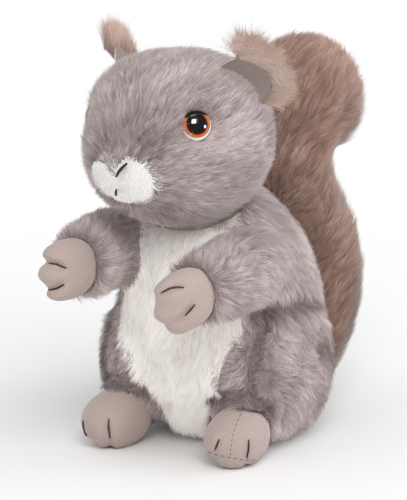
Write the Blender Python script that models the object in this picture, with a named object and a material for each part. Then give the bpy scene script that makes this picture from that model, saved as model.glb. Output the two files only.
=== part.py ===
"""Seated plush squirrel, about 18 cm tall.

It faces -Y and sits on z = 0, with the origin at the middle of its seat. The skins are pile
fabric over stuffing, so each sewn piece is one filled body. White panels lie let in flush with
their neighbours, hands and feet are ribbed jersey, and the eyes are locked with washers.
"""

import math

import bmesh
import bpy
from mathutils import Matrix, Vector
from mathutils.bvhtree import BVHTree

MM = 0.001
SEAM_GAP = 0.3 * MM
SIDES = (("left", 1), ("right", -1))

# Body
BODY_WIDTH = 84 * MM
BODY_DEPTH = 88 * MM
BODY_HEIGHT = 113 * MM
BODY_WIDE_HEIGHT = 55 * MM
BODY_BACK = 12 * MM
BODY_LEAN = 12 * MM
SEAT_SQUASH = 5 * MM

# White belly panel: half its width as an angle round the body, low down, mid way and at the neck
BELLY_LOW_ANGLE = math.radians(11)
BELLY_MID_ANGLE = math.radians(42)
BELLY_NECK_ANGLE = math.radians(60)
BELLY_LOW_SHARE = -0.85
BELLY_NECK_SHARE = 0.9
PANEL_THICKNESS = 3 * MM

# Head
HEAD_WIDTH = 76 * MM
HEAD_DEPTH = 74 * MM
HEAD_HEIGHT = 71 * MM
HEAD_FORWARD = 23.5 * MM
NECK_SINK = 17 * MM
HEAD_TURN = math.radians(-9)
HEAD_ROLL = math.radians(-3)
CHEEK_FULLNESS = 2.3
MUZZLE_DROP = math.radians(18.5)
MUZZLE_SWELL = 3 * MM
MUZZLE_HALF_WIDTH = math.radians(24.5)
MUZZLE_HALF_HEIGHT = math.radians(14.5)
MUZZLE_NOTCH = math.radians(5)
MUZZLE_NOTCH_WIDTH = math.radians(23)
MUZZLE_CLEFT = 1.2 * MM
MUZZLE_CLEFT_WIDTH = 3.5 * MM
NOSE_THREAD = 1.2 * MM
NOSE_LENGTH = 6.5 * MM
NOSE_SLANT = math.radians(30)
NOSE_BOW = 0.8 * MM
MOUTH_THREAD = 1.0 * MM
MOUTH_LENGTH = 1.8 * MM
MOUTH_DROP = 7 * MM

# Eyes, with a stem through the skin and a washer that locks it
EYE_DIAMETER = 11.5 * MM
EYE_DOME = 3.4 * MM
EYE_SPREAD = math.radians(53)
EYE_RISE = math.radians(16)
EYE_SINK = 2.4 * MM
EYE_SOCKET_REACH = math.radians(13)
EYE_RIM = 0.6 * MM
EYE_SET = 1.9 * MM
STEM_DIAMETER = 3.4 * MM
STEM_LENGTH = 9 * MM
STEM_TIP = 0.5 * MM
WASHER_DIAMETER = 11 * MM
WASHER_THICKNESS = 1.2 * MM
WASHER_DEPTH = 4.5 * MM

# Ears: a cupped lining in front of a long tufted back
EAR_WIDTH = 23 * MM
EAR_RIM_HEIGHT = 15 * MM
EAR_CUP_DEPTH = 5 * MM
EAR_THICKNESS = 5 * MM
EAR_TUFT_REACH = 29 * MM
EAR_SINK = 4.5 * MM
EAR_SPREAD = math.radians(101)
EAR_RISE = math.radians(35.5)
EAR_SLANT = math.radians(35)
EAR_LEAN_BACK = 0.25
EAR_LEAN_UP = 0.1
LINING_THICKNESS = 1.2 * MM

# Arms
ARM_THICKNESS = 33 * MM
WRIST_THICKNESS = 30 * MM
ARM_LENGTH = 59 * MM
ARM_BODY_SINK = 15 * MM
ARM_OVER_LEG = 4 * MM
ARM_ROOT_BACK = 4 * MM
ARM_BOW = 4 * MM
# Thickness along the arm in parts of its greatest, and along the cuff in parts of the wrist's
ARM_SWELL = ((0, 0.4), (0.08, 0.66), (0.2, 0.86), (0.34, 0.97), (0.5, 1), (0.68, 0.97))
CUFF_SWELL = ((0.84, 1.06), (0.93, 0.98), (0.98, 0.82), (1, 0.6))
WRIST_DROP_LEFT = 5 * MM
WRIST_DROP_RIGHT = 1 * MM
WRIST_DROP = {"left": WRIST_DROP_LEFT, "right": WRIST_DROP_RIGHT}

# Hands: flat mitts, three fingers one above another
HAND_LENGTH = 28 * MM
HAND_HEIGHT = 24 * MM
HAND_THICKNESS = 15 * MM
HAND_SINK = 8 * MM
HAND_TURN_OUT = {"left": math.radians(-30), "right": math.radians(18)}
HAND_TIP_DOWN = {"left": math.radians(24), "right": math.radians(4)}
FINGER_SPREAD = math.radians(44)
FINGER_NOTCH = 0.17
FINGER_CREASE = 0.18
FINGER_CREASE_WIDTH = math.radians(13)
FINGER_LOBE = 0.07
FINGER_LOBE_WIDTH = math.radians(22)
FINGER_STITCH_REACH = (0.88, 0.34)
THREAD = 0.8 * MM

# Legs: a big haunch either side, with the seam of its front edge
LEG_WIDTH = 35 * MM
LEG_LENGTH = 74 * MM
LEG_HEIGHT = 62 * MM
LEG_OUTREACH = 3.3 * MM
LEG_BACK = 7.5 * MM
LEG_FULLNESS = 2.4
LEG_LIFT = 1 * MM
LEG_SWEEP = 5 * MM
LEG_SEAM_ANGLE = math.radians(-48)
LEG_SEAM_DEPTH = 1.8 * MM
LEG_SEAM_WIDTH = math.radians(11)
ANKLE_FOLD_HEIGHT = 21 * MM
ANKLE_FOLD_DEPTH = 1.2 * MM
ANKLE_FOLD_WIDTH = 3 * MM
ANKLE_FOLD_ANGLE = math.radians(-97)
ANKLE_FOLD_REACH = math.radians(34)

# Feet
FOOT_WIDTH = 22.5 * MM
FOOT_LENGTH = 33 * MM
FOOT_HEIGHT = 22.5 * MM
FOOT_PROUD = 11.5 * MM
FOOT_SQUASH = 1.2 * MM
FOOT_SPREAD = 0.5 * MM
FOOT_TURN_OUT = math.radians(6)
TOE_SPREAD = math.radians(22)
TOE_NOTCH = 0.05
TOE_NOTCH_WIDTH = math.radians(9)
TOE_SLOPE = 0.16
TOE_STITCH_REACH = (1.02, 0.94)
TOE_STITCH_HEIGHT = (0.18, 0.52)

# Tail: stands up behind in an S, under a full round curl
TAIL_WIDTH = 50 * MM
TAIL_DEPTH = 49 * MM
TAIL_WAIST = 0.82
TAIL_TOP = 154.5 * MM
TAIL_ROOT_SINK = 14 * MM
TAIL_STAND_OFF = 28 * MM
CURL_DIAMETER = 51 * MM
CURL_BACK = 23.5 * MM
CURL_HANG = 0.1
# Where the tail's middle goes: behind the body in parts of the stand-off, up in parts of its rise
TAIL_BACK = (0.36, 0.93, 0.27, 0.66)
TAIL_UP = (0.125, 0.177, 0.415, 0.77, 0.954)
TAIL_ROOT_GIRTH = 0.62
TAIL_FULL_GIRTH = 1.04
TAIL_FULL_SHARE = 0.45
TAIL_WAIST_SHARE = 0.8
TAIL_WAIST_REACH = 0.19
# The rings take their tilt over this share of the length, so that they don't cross
RING_EASE = 0.12

# Pile and fabric colours
GREY_PILE = (0.42, 0.36, 0.355)
WHITE_PILE = (0.80, 0.76, 0.71)
BROWN_PILE = (0.33, 0.23, 0.19)
TUFT_PILE = (0.50, 0.36, 0.30)
JERSEY = (0.46, 0.35, 0.31)
LINING_JERSEY = (0.24, 0.19, 0.17)
THREAD_BROWN = (0.035, 0.02, 0.018)
EYE_ORANGE = (0.62, 0.16, 0.03)
WASHER_WHITE = (0.75, 0.75, 0.72)


def clear_scene():
    for old in list(bpy.data.objects):
        bpy.data.objects.remove(old, do_unlink=True)


def material(name, colour, roughness):
    made = bpy.data.materials.get(name) or bpy.data.materials.new(name)
    made.use_nodes = True
    made.diffuse_color = (*colour, 1.0)
    shader = made.node_tree.nodes["Principled BSDF"]
    shader.inputs["Base Color"].default_value = (*colour, 1.0)
    shader.inputs["Roughness"].default_value = roughness
    shader.inputs["Metallic"].default_value = 0.0
    return made


def make_object(name, mesh, finish):
    made = bpy.data.objects.new(name, mesh)
    bpy.context.collection.objects.link(made)
    made.data.materials.append(finish)
    return made


def face_outward(bm):
    """Makes the faces of a closed shape agree, pointing out."""
    bmesh.ops.recalc_face_normals(bm, faces=bm.faces)
    if bm.calc_volume(signed=True) < 0:
        bmesh.ops.reverse_faces(bm, faces=bm.faces)
    bm.normal_update()


def finish_mesh(bm, name, finish, smooth_angle=50):
    """Turns a bmesh into a named object, shaded smooth up to the given angle."""
    face_outward(bm)
    mesh = bpy.data.meshes.new(name)
    bm.to_mesh(mesh)
    bm.free()
    mesh.shade_smooth()
    mesh.set_sharp_from_angle(angle=math.radians(smooth_angle))
    return make_object(name, mesh, finish)


def ball(columns, rows, shape):
    """A sphere of columns by rows whose unit points are carried to shape(point)."""
    bm = bmesh.new()
    bmesh.ops.create_uvsphere(bm, u_segments=columns, v_segments=rows, radius=1.0)
    for vert in bm.verts:
        vert.co = shape(vert.co.copy())
    return bm


def cut_at_floor(bm, height=0.0):
    """Cuts the shape level at a height and closes it with one flat face."""
    geometry = list(bm.verts) + list(bm.edges) + list(bm.faces)
    cut = bmesh.ops.bisect_plane(
        bm, geom=geometry, plane_co=(0, 0, height), plane_no=(0, 0, 1), clear_inner=True, dist=1e-6
    )
    rim = [item for item in cut["geom_cut"] if isinstance(item, bmesh.types.BMEdge)]
    bmesh.ops.contextual_create(bm, geom=rim)


def clearance_cutter(source, name, gap=SEAM_GAP):
    """A hidden copy of a piece, grown by the seam gap, that cuts its place in a neighbour."""
    mesh = source.data.copy()
    bm = bmesh.new()
    bm.from_mesh(mesh)
    bm.normal_update()
    pushes = [(vert, vert.normal * gap) for vert in bm.verts]
    for vert, push in pushes:
        vert.co += push
    bm.to_mesh(mesh)
    bm.free()
    cutter = bpy.data.objects.new(name, mesh)
    bpy.context.collection.objects.link(cutter)
    cutter.parent = source.parent
    cutter.matrix_basis = source.matrix_basis.copy()
    cutter.hide_render = True
    cutter.display_type = "WIRE"
    return cutter


def cut_by(target, *cutters):
    """Takes the room of the cutters out of a piece, all of them in one cut."""
    rooms = bpy.data.collections.new("rooms in " + target.name)
    bpy.context.scene.collection.children.link(rooms)
    for cutter in cutters:
        rooms.objects.link(cutter)
    step = target.modifiers.new("make room", "BOOLEAN")
    step.operation = "DIFFERENCE"
    step.solver = "EXACT"
    step.operand_type = "COLLECTION"
    step.collection = rooms


def let_in_panel(bm, faces, thickness):
    """Sinks a pocket under some faces and gives back a panel that fills it, with a seam gap."""
    picked = {face.index for face in faces}
    panel = bm.copy()
    panel.faces.ensure_lookup_table()
    spare = [face for face in panel.faces if face.index not in picked]
    bmesh.ops.delete(panel, geom=spare, context="FACES")
    rim = bmesh.ops.inset_region(
        panel, faces=panel.faces[:], thickness=SEAM_GAP, use_boundary=True, use_even_offset=True
    )
    bmesh.ops.delete(panel, geom=rim["faces"], context="FACES")
    panel.normal_update()
    bmesh.ops.solidify(panel, geom=panel.faces[:], thickness=thickness - SEAM_GAP)
    sunk = bmesh.ops.extrude_face_region(bm, geom=faces)["geom"]
    floor = [item for item in sunk if isinstance(item, bmesh.types.BMVert)]
    pushes = [(vert, vert.normal * thickness) for vert in floor]
    for vert, push in pushes:
        vert.co -= push
    bmesh.ops.delete(bm, geom=faces, context="FACES")
    return panel


def seat_on(points, tree, lift):
    """Moves points to the nearest place on a surface, and lift above it."""
    seated = []
    for point in points:
        place, normal, _, _ = tree.find_nearest(point)
        seated.append(place + normal * lift)
    return seated


def thread(name, points, thickness, finish):
    """A stitch: a round thread through the points, with closed ends."""
    path = bpy.data.curves.new(name, "CURVE")
    path.dimensions = "3D"
    path.bevel_depth = thickness / 2
    path.bevel_resolution = 1
    path.use_fill_caps = True
    line = path.splines.new("POLY")
    line.points.add(len(points) - 1)
    for spot, point in zip(line.points, points):
        spot.co = (*point, 1.0)
    return make_object(name, path, finish)


def surface_tree(bm):
    return BVHTree.FromBMesh(bm)


def bulge(distance, reach):
    """1 at the middle, falling smoothly to nothing past the reach."""
    return math.exp(-((distance / reach) ** 2))


def signed_angle(angle):
    return (angle + math.pi) % (2 * math.pi) - math.pi


# Body and belly panel
BODY_COLUMNS = 36
BODY_ROWS = 16
PANEL_COLUMNS = 4


def belly_angle(rise):
    """Half width of the belly panel at a rise of -1 (seat) to 1 (top of the neck)."""
    if rise < 0:
        share = -rise
        return BELLY_MID_ANGLE + (BELLY_LOW_ANGLE - BELLY_MID_ANGLE) * share
    return BELLY_MID_ANGLE + (BELLY_NECK_ANGLE - BELLY_MID_ANGLE) * rise ** 1.5


def body_point(unit):
    """The body: an egg that leans forward, with columns drawn to the belly panel's edges."""
    around = math.atan2(unit.x, -unit.y)
    grid_edge = PANEL_COLUMNS * 2 * math.pi / BODY_COLUMNS
    edge = belly_angle(unit.z)
    if abs(around) <= grid_edge:
        bent = around * edge / grid_edge
    else:
        share = (abs(around) - grid_edge) / (math.pi - grid_edge)
        bent = math.copysign(edge + share * (math.pi - edge), around)
    side = math.hypot(unit.x, unit.y)
    across = math.sin(bent) * side * BODY_WIDTH / 2
    along = -math.cos(bent) * side * BODY_DEPTH / 2
    if unit.z < 0:
        height = BODY_WIDE_HEIGHT + unit.z * (BODY_WIDE_HEIGHT + SEAT_SQUASH)
    else:
        height = BODY_WIDE_HEIGHT + unit.z * (BODY_HEIGHT - BODY_WIDE_HEIGHT)
    return Vector((across, BODY_BACK + along - BODY_LEAN * max(unit.z, 0.0), height))


def make_body(grey, white):
    whole = ball(BODY_COLUMNS, BODY_ROWS, body_point)
    cut_at_floor(whole)
    face_outward(whole)
    form = whole.copy()
    whole.faces.ensure_lookup_table()
    whole.faces.index_update()
    picked = []
    for face in whole.faces:
        middle = face.calc_center_median()
        rise = (middle.z - BODY_WIDE_HEIGHT) / (BODY_HEIGHT - BODY_WIDE_HEIGHT)
        if middle.z < BODY_WIDE_HEIGHT:
            rise = (middle.z - BODY_WIDE_HEIGHT) / (BODY_WIDE_HEIGHT + SEAT_SQUASH)
        ahead = BODY_BACK - BODY_LEAN * max(rise, 0.0) - middle.y
        around = math.atan2(middle.x / BODY_WIDTH, ahead / BODY_DEPTH)
        if abs(around) < belly_angle(rise) and BELLY_LOW_SHARE < rise < BELLY_NECK_SHARE:
            picked.append(face)
    panel = let_in_panel(whole, picked, PANEL_THICKNESS)
    body = finish_mesh(whole, "body", grey)
    belly = finish_mesh(panel, "belly_panel", white)
    outline = finish_mesh(form, "body_outline", grey)
    return body, belly, outline


# Head, muzzle and the stitched nose
HEAD_COLUMNS = 32
HEAD_ROWS = 18
MUZZLE_ROWS = 3


def head_radius(way):
    """Distance from the head's middle to its skin, before the muzzle's swell."""
    full = CHEEK_FULLNESS
    total = abs(2 * way.x / HEAD_WIDTH) ** full
    total += abs(2 * way.y / HEAD_DEPTH) ** full
    total += abs(2 * way.z / HEAD_HEIGHT) ** full
    return total ** (-1 / full)


def muzzle_axis():
    return Vector((0, -math.cos(MUZZLE_DROP), -math.sin(MUZZLE_DROP)))


def side_way(side, spread, rise):
    """A direction from the head's middle, spread to one side of the front and raised."""
    flat = math.cos(rise)
    return Vector((side * math.sin(spread) * flat, -math.cos(spread) * flat, math.sin(rise)))


def head_skin(way):
    """A point on the head's skin in the direction way from its middle."""
    way = way.normalized()
    off_muzzle = way.angle(muzzle_axis())
    cleft = MUZZLE_CLEFT * bulge(way.x * HEAD_WIDTH / 2, MUZZLE_CLEFT_WIDTH)
    swell = (MUZZLE_SWELL - cleft) * bulge(off_muzzle, MUZZLE_HALF_WIDTH)
    socket = 0.0
    for _, side in SIDES:
        socket += EYE_SINK * bulge(way.angle(eye_way(side)), EYE_SOCKET_REACH)
    return way * (head_radius(way) + swell - socket)


def eye_way(side):
    return side_way(side, EYE_SPREAD, EYE_RISE)


def muzzle_edge(turn):
    """Angle from the muzzle's middle to its edge, turn being 0 at the side and 90 degrees on top."""
    side = math.cos(turn) / MUZZLE_HALF_WIDTH
    rise = math.sin(turn) / MUZZLE_HALF_HEIGHT
    edge = 1 / math.hypot(side, rise)
    notch = bulge(signed_angle(turn - math.pi / 2), MUZZLE_NOTCH_WIDTH)
    return edge - (MUZZLE_HALF_HEIGHT - MUZZLE_NOTCH) * notch


def head_point(unit):
    """Rows run round the muzzle's middle, so that its edge is one of them."""
    turn = math.atan2(unit.y, unit.x)
    off_axis = math.acos(max(-1.0, min(1.0, unit.z)))
    grid_edge = MUZZLE_ROWS * math.pi / HEAD_ROWS
    edge = muzzle_edge(turn)
    if off_axis <= grid_edge:
        bent = off_axis * edge / grid_edge
    else:
        bent = edge + (off_axis - grid_edge) / (math.pi - grid_edge) * (math.pi - edge)
    off = math.sin(bent)
    way = Vector((off * math.cos(turn), -math.cos(bent), off * math.sin(turn)))
    way.rotate(Matrix.Rotation(MUZZLE_DROP, 3, "X"))
    return head_skin(way)


def off_muzzle_share(point):
    """How far out a point lies on the muzzle, 1 being its edge."""
    way = point.normalized()
    way.rotate(Matrix.Rotation(-MUZZLE_DROP, 3, "X"))
    off_axis = math.acos(max(-1.0, min(1.0, -way.y)))
    return off_axis / muzzle_edge(math.atan2(way.z, way.x))


def make_head(grey, white):
    whole = ball(HEAD_COLUMNS, HEAD_ROWS, head_point)
    face_outward(whole)
    tree = surface_tree(whole)
    form = whole.copy()
    whole.faces.ensure_lookup_table()
    whole.faces.index_update()
    picked = [face for face in whole.faces if off_muzzle_share(face.calc_center_median()) < 1]
    panel = let_in_panel(whole, picked, PANEL_THICKNESS)
    head = finish_mesh(whole, "head", grey)
    muzzle = finish_mesh(panel, "muzzle", white)
    outline = finish_mesh(form, "head_outline", grey)
    return head, muzzle, outline, tree


def nose_foot():
    """Where the muzzle's two cheeks meet, at the low end of the nose stitch."""
    drop = MUZZLE_DROP - MUZZLE_NOTCH
    return head_skin(Vector((0, -math.cos(drop), -math.sin(drop))))


def make_nose(tree, finish):
    """The nose is one bowed stitch up the edge of the left cheek, the mouth a short one below it."""
    foot = nose_foot()
    spots = []
    for k in range(6):
        along = NOSE_LENGTH * k / 5
        out = math.sin(NOSE_SLANT) * along + NOSE_BOW * math.sin(math.pi * k / 5)
        spots.append(foot + Vector((out, 0, math.cos(NOSE_SLANT) * along)))
    lift = NOSE_THREAD / 2 + SEAM_GAP
    nose = thread("nose_stitch", seat_on(spots, tree, lift), NOSE_THREAD, finish)
    low = foot - Vector((0, 0, MOUTH_DROP))
    spots = [low + Vector((0.5 * MOUTH_LENGTH * k / 3, 0, MOUTH_LENGTH * k / 3)) for k in range(4)]
    lift = MOUTH_THREAD / 2 + SEAM_GAP
    mouth = thread("mouth_stitch", seat_on(spots, tree, lift), MOUTH_THREAD, finish)
    return [nose, mouth]


# Eyes
def turned(name, profile, steps, finish):
    """A profile of (radius, height) points turned about Z."""
    bm = bmesh.new()
    corners = [bm.verts.new((radius, 0, height)) for radius, height in profile]
    closed = profile[0][0] > 0 and profile[-1][0] > 0
    edges = [bm.edges.new(pair) for pair in zip(corners, corners[1:])]
    if closed:
        edges.append(bm.edges.new((corners[-1], corners[0])))
    bmesh.ops.spin(
        bm,
        geom=corners + edges,
        cent=(0, 0, 0),
        axis=(0, 0, 1),
        angle=2 * math.pi,
        steps=steps,
        use_merge=True,
    )
    bmesh.ops.remove_doubles(bm, verts=bm.verts, dist=1e-6)
    return finish_mesh(bm, name, finish, 40)


def eye_profile():
    """Dome, a flat back and the stem, from the dome's top round to the stem's end."""
    radius = EYE_DIAMETER / 2
    points = []
    for k in range(6):
        slope = k * math.pi / 10
        points.append((radius * math.sin(slope), EYE_DOME * math.cos(slope)))
    points.append((radius - EYE_RIM / 2, -EYE_RIM))
    points.append((STEM_DIAMETER / 2, -EYE_RIM))
    points.append((STEM_DIAMETER / 2, STEM_TIP - STEM_LENGTH))
    points.append((0, -STEM_LENGTH))
    return points


def washer_profile():
    bore = STEM_DIAMETER / 2 + SEAM_GAP
    rim = WASHER_DIAMETER / 2
    low = -WASHER_DEPTH - WASHER_THICKNESS
    return [(bore, low), (rim, low), (rim, -WASHER_DEPTH), (bore, -WASHER_DEPTH)]


def pocket_profile():
    """The room that an eye and its washer take in the head, each grown by the seam gap."""
    gap = SEAM_GAP
    radius = EYE_DIAMETER / 2 + gap
    stem = STEM_DIAMETER / 2 + gap
    rim = WASHER_DIAMETER / 2 + gap
    low = -WASHER_DEPTH - WASHER_THICKNESS - gap
    return [
        (0, EYE_DOME + gap),
        (radius, EYE_DOME + gap),
        (radius, -EYE_RIM - gap),
        (stem, -EYE_RIM - gap),
        (stem, gap - WASHER_DEPTH),
        (rim, gap - WASHER_DEPTH),
        (rim, low),
        (stem, low),
        (stem, -STEM_LENGTH - gap),
        (0, -STEM_LENGTH - gap),
    ]


def make_eyes(pose, head, orange, white):
    pockets = []
    for name, side in SIDES:
        way = eye_way(side)
        place = head_skin(way)
        step = 0.02
        across = head_skin(way + Vector((step * side, step, 0))) - place
        upward = head_skin(way + Vector((0, 0, step))) - place
        facing = across.cross(upward).normalized()
        if facing.dot(way) < 0:
            facing.negate()
        turn = facing.to_track_quat("Z", "Y").to_matrix().to_4x4()
        basis = Matrix.Translation(place - facing * EYE_SET) @ turn
        eye = turned("eye_" + name, eye_profile(), 16, orange)
        washer = turned("eye_washer_" + name, washer_profile(), 16, white)
        pocket = turned("eye_pocket_" + name, pocket_profile(), 16, orange)
        pocket.hide_render = True
        pocket.display_type = "WIRE"
        for piece in (eye, washer, pocket):
            piece.parent = pose
            piece.matrix_basis = basis
        pockets.append(pocket)
    cut_by(head, *pockets)


# Ears
EAR_COLUMNS = 24
EAR_ROWS = 12
CUP_ROWS = 5


def ear_rim(turn):
    return math.hypot(math.cos(turn) * EAR_WIDTH / 2, math.sin(turn) * EAR_RIM_HEIGHT)


def ear_point(unit):
    """In the ear's own axes: X along its root, Z out from the head, Y the way that the cup faces."""
    turn = math.atan2(unit.y, unit.x)
    share = math.acos(max(-1.0, min(1.0, unit.z))) / math.pi
    rim = ear_rim(turn)
    tuft = (EAR_TUFT_REACH - EAR_RIM_HEIGHT) * max(math.sin(turn), 0.0) ** 0.7
    cup_share = CUP_ROWS / EAR_ROWS
    if share <= cup_share:
        out = share / cup_share
        depth = EAR_CUP_DEPTH * (out ** 2 - 1)
        return Vector((math.cos(turn) * rim * out, depth, math.sin(turn) * rim * out))
    back = (share - cup_share) / (1 - cup_share)
    spread = rim + tuft * math.sin(min(back * 2.5, 1) * math.pi / 2)
    reach = spread * math.sqrt(max(1 - back ** 2.4, 0))
    facing = -(EAR_CUP_DEPTH + EAR_THICKNESS) * back ** 0.8
    return Vector((math.cos(turn) * reach, facing, math.sin(turn) * reach))


def make_ears(pose, grown_head, tuft, lining):
    for name, side in SIDES:
        way = side_way(side, EAR_SPREAD, EAR_RISE)
        place = head_skin(way)
        outward = (way + Vector((0, EAR_LEAN_BACK, EAR_LEAN_UP))).normalized()
        along = Vector((side * math.cos(EAR_SLANT), math.sin(EAR_SLANT), 0))
        facing = outward.cross(along).normalized()
        if facing.y > 0:
            facing.negate()
        along = facing.cross(outward).normalized()
        turn = Matrix((along, facing, outward)).transposed().to_4x4()
        basis = Matrix.Translation(place - outward * EAR_SINK) @ turn
        whole = ball(EAR_COLUMNS, EAR_ROWS, ear_point)
        face_outward(whole)
        whole.faces.ensure_lookup_table()
        whole.faces.index_update()
        picked = []
        for face in whole.faces:
            middle = face.calc_center_median()
            reach = math.hypot(middle.x, middle.z)
            in_cup = reach < ear_rim(math.atan2(middle.z, middle.x)) * (CUP_ROWS - 1) / CUP_ROWS
            if in_cup and face.normal.y > 0.2 and middle.z > 0:
                picked.append(face)
        panel = let_in_panel(whole, picked, LINING_THICKNESS)
        ear = finish_mesh(whole, "ear_" + name, tuft)
        cover = finish_mesh(panel, "ear_lining_" + name, lining)
        for piece in (ear, cover):
            piece.parent = pose
            piece.matrix_basis = basis
            cut_by(piece, grown_head)


# Limbs and tail are rings lofted along a path
ARM_COLUMNS = 20
HAND_COLUMNS = 32
HAND_ROWS = 10


def loft(stations, columns):
    """Bridges rings given as (centre, direction, half width, half depth, across) and closes the ends."""
    bm = bmesh.new()
    loops = []
    for centre, direction, half_width, half_depth, across in stations:
        ring = bmesh.ops.create_circle(bm, segments=columns, radius=1.0)["verts"]
        direction = direction.normalized()
        side = across.normalized()
        up = direction.cross(side).normalized()
        for vert in ring:
            vert.co = centre + side * vert.co.x * half_width + up * vert.co.y * half_depth
        loops.append(ring)
    for first, second in zip(loops, loops[1:]):
        ends = []
        for ring in (first, second):
            ends += {edge for vert in ring for edge in vert.link_edges if set(edge.verts) <= set(ring)}
        bmesh.ops.bridge_loops(bm, edges=ends)
    for ring in (loops[0], loops[-1]):
        bmesh.ops.contextual_create(bm, geom=ring)
    face_outward(bm)
    return bm


def shoulder_height():
    return LEG_HEIGHT + ARM_OVER_LEG + ARM_THICKNESS / 2


def arm_path(name, side, share):
    """Middle of the arm from its root (0) to its end (1)."""
    root = Vector((side * (BODY_WIDTH / 2 - ARM_BODY_SINK), ARM_ROOT_BACK, shoulder_height()))
    out = side * ARM_BOW * math.sin(math.pi * share)
    drop = WRIST_DROP[name] * share
    return root + Vector((out, -ARM_LENGTH * share, -drop))


def make_arms(grey, jersey, brown, grown_body):
    rooms = []
    for name, side in SIDES:
        stations = [(share, swell * ARM_THICKNESS / 2) for share, swell in ARM_SWELL]
        stations += [(share, swell * WRIST_THICKNESS / 2) for share, swell in CUFF_SWELL]
        rings = []
        for share, radius in stations:
            centre = arm_path(name, side, share)
            ahead = arm_path(name, side, share + 0.01) - arm_path(name, side, share - 0.01)
            rings.append((centre, ahead, radius, radius, Vector((1, 0, 0))))
        arm = finish_mesh(loft(rings, ARM_COLUMNS), "arm_" + name, grey)
        hand_room = make_hand(name, side, jersey, brown)
        rooms.append(clearance_cutter(arm, "arm_room_" + name))
        cut_by(arm, grown_body, hand_room)
    return rooms


def between_fingers(turn):
    """1 in the two creases between the three fingers, 0 away from them."""
    return bulge(abs(turn) - FINGER_SPREAD / 2, FINGER_CREASE_WIDTH)


def hand_outline(turn):
    """Reach of the mitt's edge: three finger lobes, and a plain wrist."""
    edge = math.hypot(math.cos(turn) * HAND_LENGTH / 2, math.sin(turn) * HAND_HEIGHT / 2)
    lobes = bulge(abs(turn) - FINGER_SPREAD, FINGER_LOBE_WIDTH)
    return edge * (1 + FINGER_LOBE * lobes - FINGER_NOTCH * between_fingers(turn))


def hand_point(unit):
    """X is the way that the fingers point, Y across the fingers, Z through the flat mitt."""
    turn = math.atan2(unit.y, unit.x)
    out = math.hypot(unit.x, unit.y)
    reach = hand_outline(turn) * out ** 0.85
    thick = unit.z * (1 - FINGER_CREASE * between_fingers(turn) * out)
    return Vector((math.cos(turn) * reach, math.sin(turn) * reach, thick * HAND_THICKNESS / 2))


def hand_basis(name, side):
    """Fingers point forward, turned out or in and tipped down a little, one above another."""
    out = HAND_TURN_OUT[name]
    down = HAND_TIP_DOWN[name]
    level = math.cos(down)
    ahead = Vector((side * math.sin(out) * level, -math.cos(out) * level, -math.sin(down)))
    flat = ahead.cross(Vector((0, 0, 1))).normalized()
    stack = flat.cross(ahead).normalized()
    end = arm_path(name, side, 1)
    centre = end + ahead * (HAND_LENGTH / 2 - HAND_SINK)
    return Matrix.Translation(centre) @ Matrix((ahead, stack, flat)).transposed().to_4x4()


def make_hand(name, side, jersey, brown):
    whole = ball(HAND_COLUMNS, HAND_ROWS, hand_point)
    face_outward(whole)
    tree = surface_tree(whole)
    hand = finish_mesh(whole, "hand_" + name, jersey)
    hand.matrix_basis = hand_basis(name, side)
    room = clearance_cutter(hand, "hand_room_" + name)
    outer = 1 if hand.matrix_basis.col[2].x * side > 0 else -1
    face = outer if name == "left" else -outer
    tip, base = FINGER_STITCH_REACH
    for number, sign in ((1, 1), (2, -1)):
        turn = sign * FINGER_SPREAD / 2
        spots = []
        for k in range(6):
            reach = HAND_LENGTH / 2 * (tip + (base - tip) * k / 5)
            flat = Vector((math.cos(turn) * reach, math.sin(turn) * reach, 0))
            spots.append(flat + Vector((0, 0, face * HAND_THICKNESS / 2)))
        points = seat_on(spots, tree, THREAD / 2 + SEAM_GAP)
        stitch = thread(f"finger_stitch_{name}_{number}", points, THREAD, brown)
        stitch.matrix_basis = hand.matrix_basis.copy()
    return room


# Legs and feet
LEG_COLUMNS = 30
LEG_ROWS = 14
FOOT_COLUMNS = 28
FOOT_ROWS = 10


def leg_centre(side):
    half = LEG_WIDTH / 2
    across = side * (BODY_WIDTH / 2 + LEG_OUTREACH - half)
    return Vector((across, LEG_BACK, (LEG_HEIGHT + LEG_LIFT) / 2))


def leg_point(side):
    """A haunch: a full round form, drawn in along its front seam and at the fold over the ankle."""

    def shape(unit):
        full = LEG_FULLNESS
        half = Vector((LEG_WIDTH / 2, LEG_LENGTH / 2, (LEG_HEIGHT - LEG_LIFT) / 2))
        total = sum(abs(unit[axis] / half[axis]) ** full for axis in range(3))
        point = unit * total ** (-1 / full)
        around = math.atan2(unit.y / half.y, side * unit.x / half.x)
        flat = math.hypot(unit.x, unit.y)
        seam = bulge(signed_angle(around - LEG_SEAM_ANGLE), LEG_SEAM_WIDTH) * flat ** 2
        height = point.z + leg_centre(side).z
        fold = bulge(height - ANKLE_FOLD_HEIGHT, ANKLE_FOLD_WIDTH)
        fold *= bulge(signed_angle(around - ANKLE_FOLD_ANGLE), ANKLE_FOLD_REACH)
        sink = LEG_SEAM_DEPTH * seam + ANKLE_FOLD_DEPTH * fold
        point -= Vector((point.x, point.y, 0)).normalized() * sink
        point.y += LEG_SWEEP * min(unit.z, 0) ** 2
        return point + leg_centre(side)

    return shape


def make_legs(grey, jersey, brown, grown_body, arm_rooms):
    rooms = []
    for (name, side), arm_room in zip(SIDES, arm_rooms):
        whole = ball(LEG_COLUMNS, LEG_ROWS, leg_point(side))
        leg = finish_mesh(whole, "leg_" + name, grey)
        rooms.append(clearance_cutter(leg, "leg_room_" + name))
        foot = make_foot(name, side, jersey, brown)
        cut_by(leg, grown_body, clearance_cutter(foot, "foot_room_" + name), arm_room)
        cut_by(foot, grown_body)
    return rooms


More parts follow.
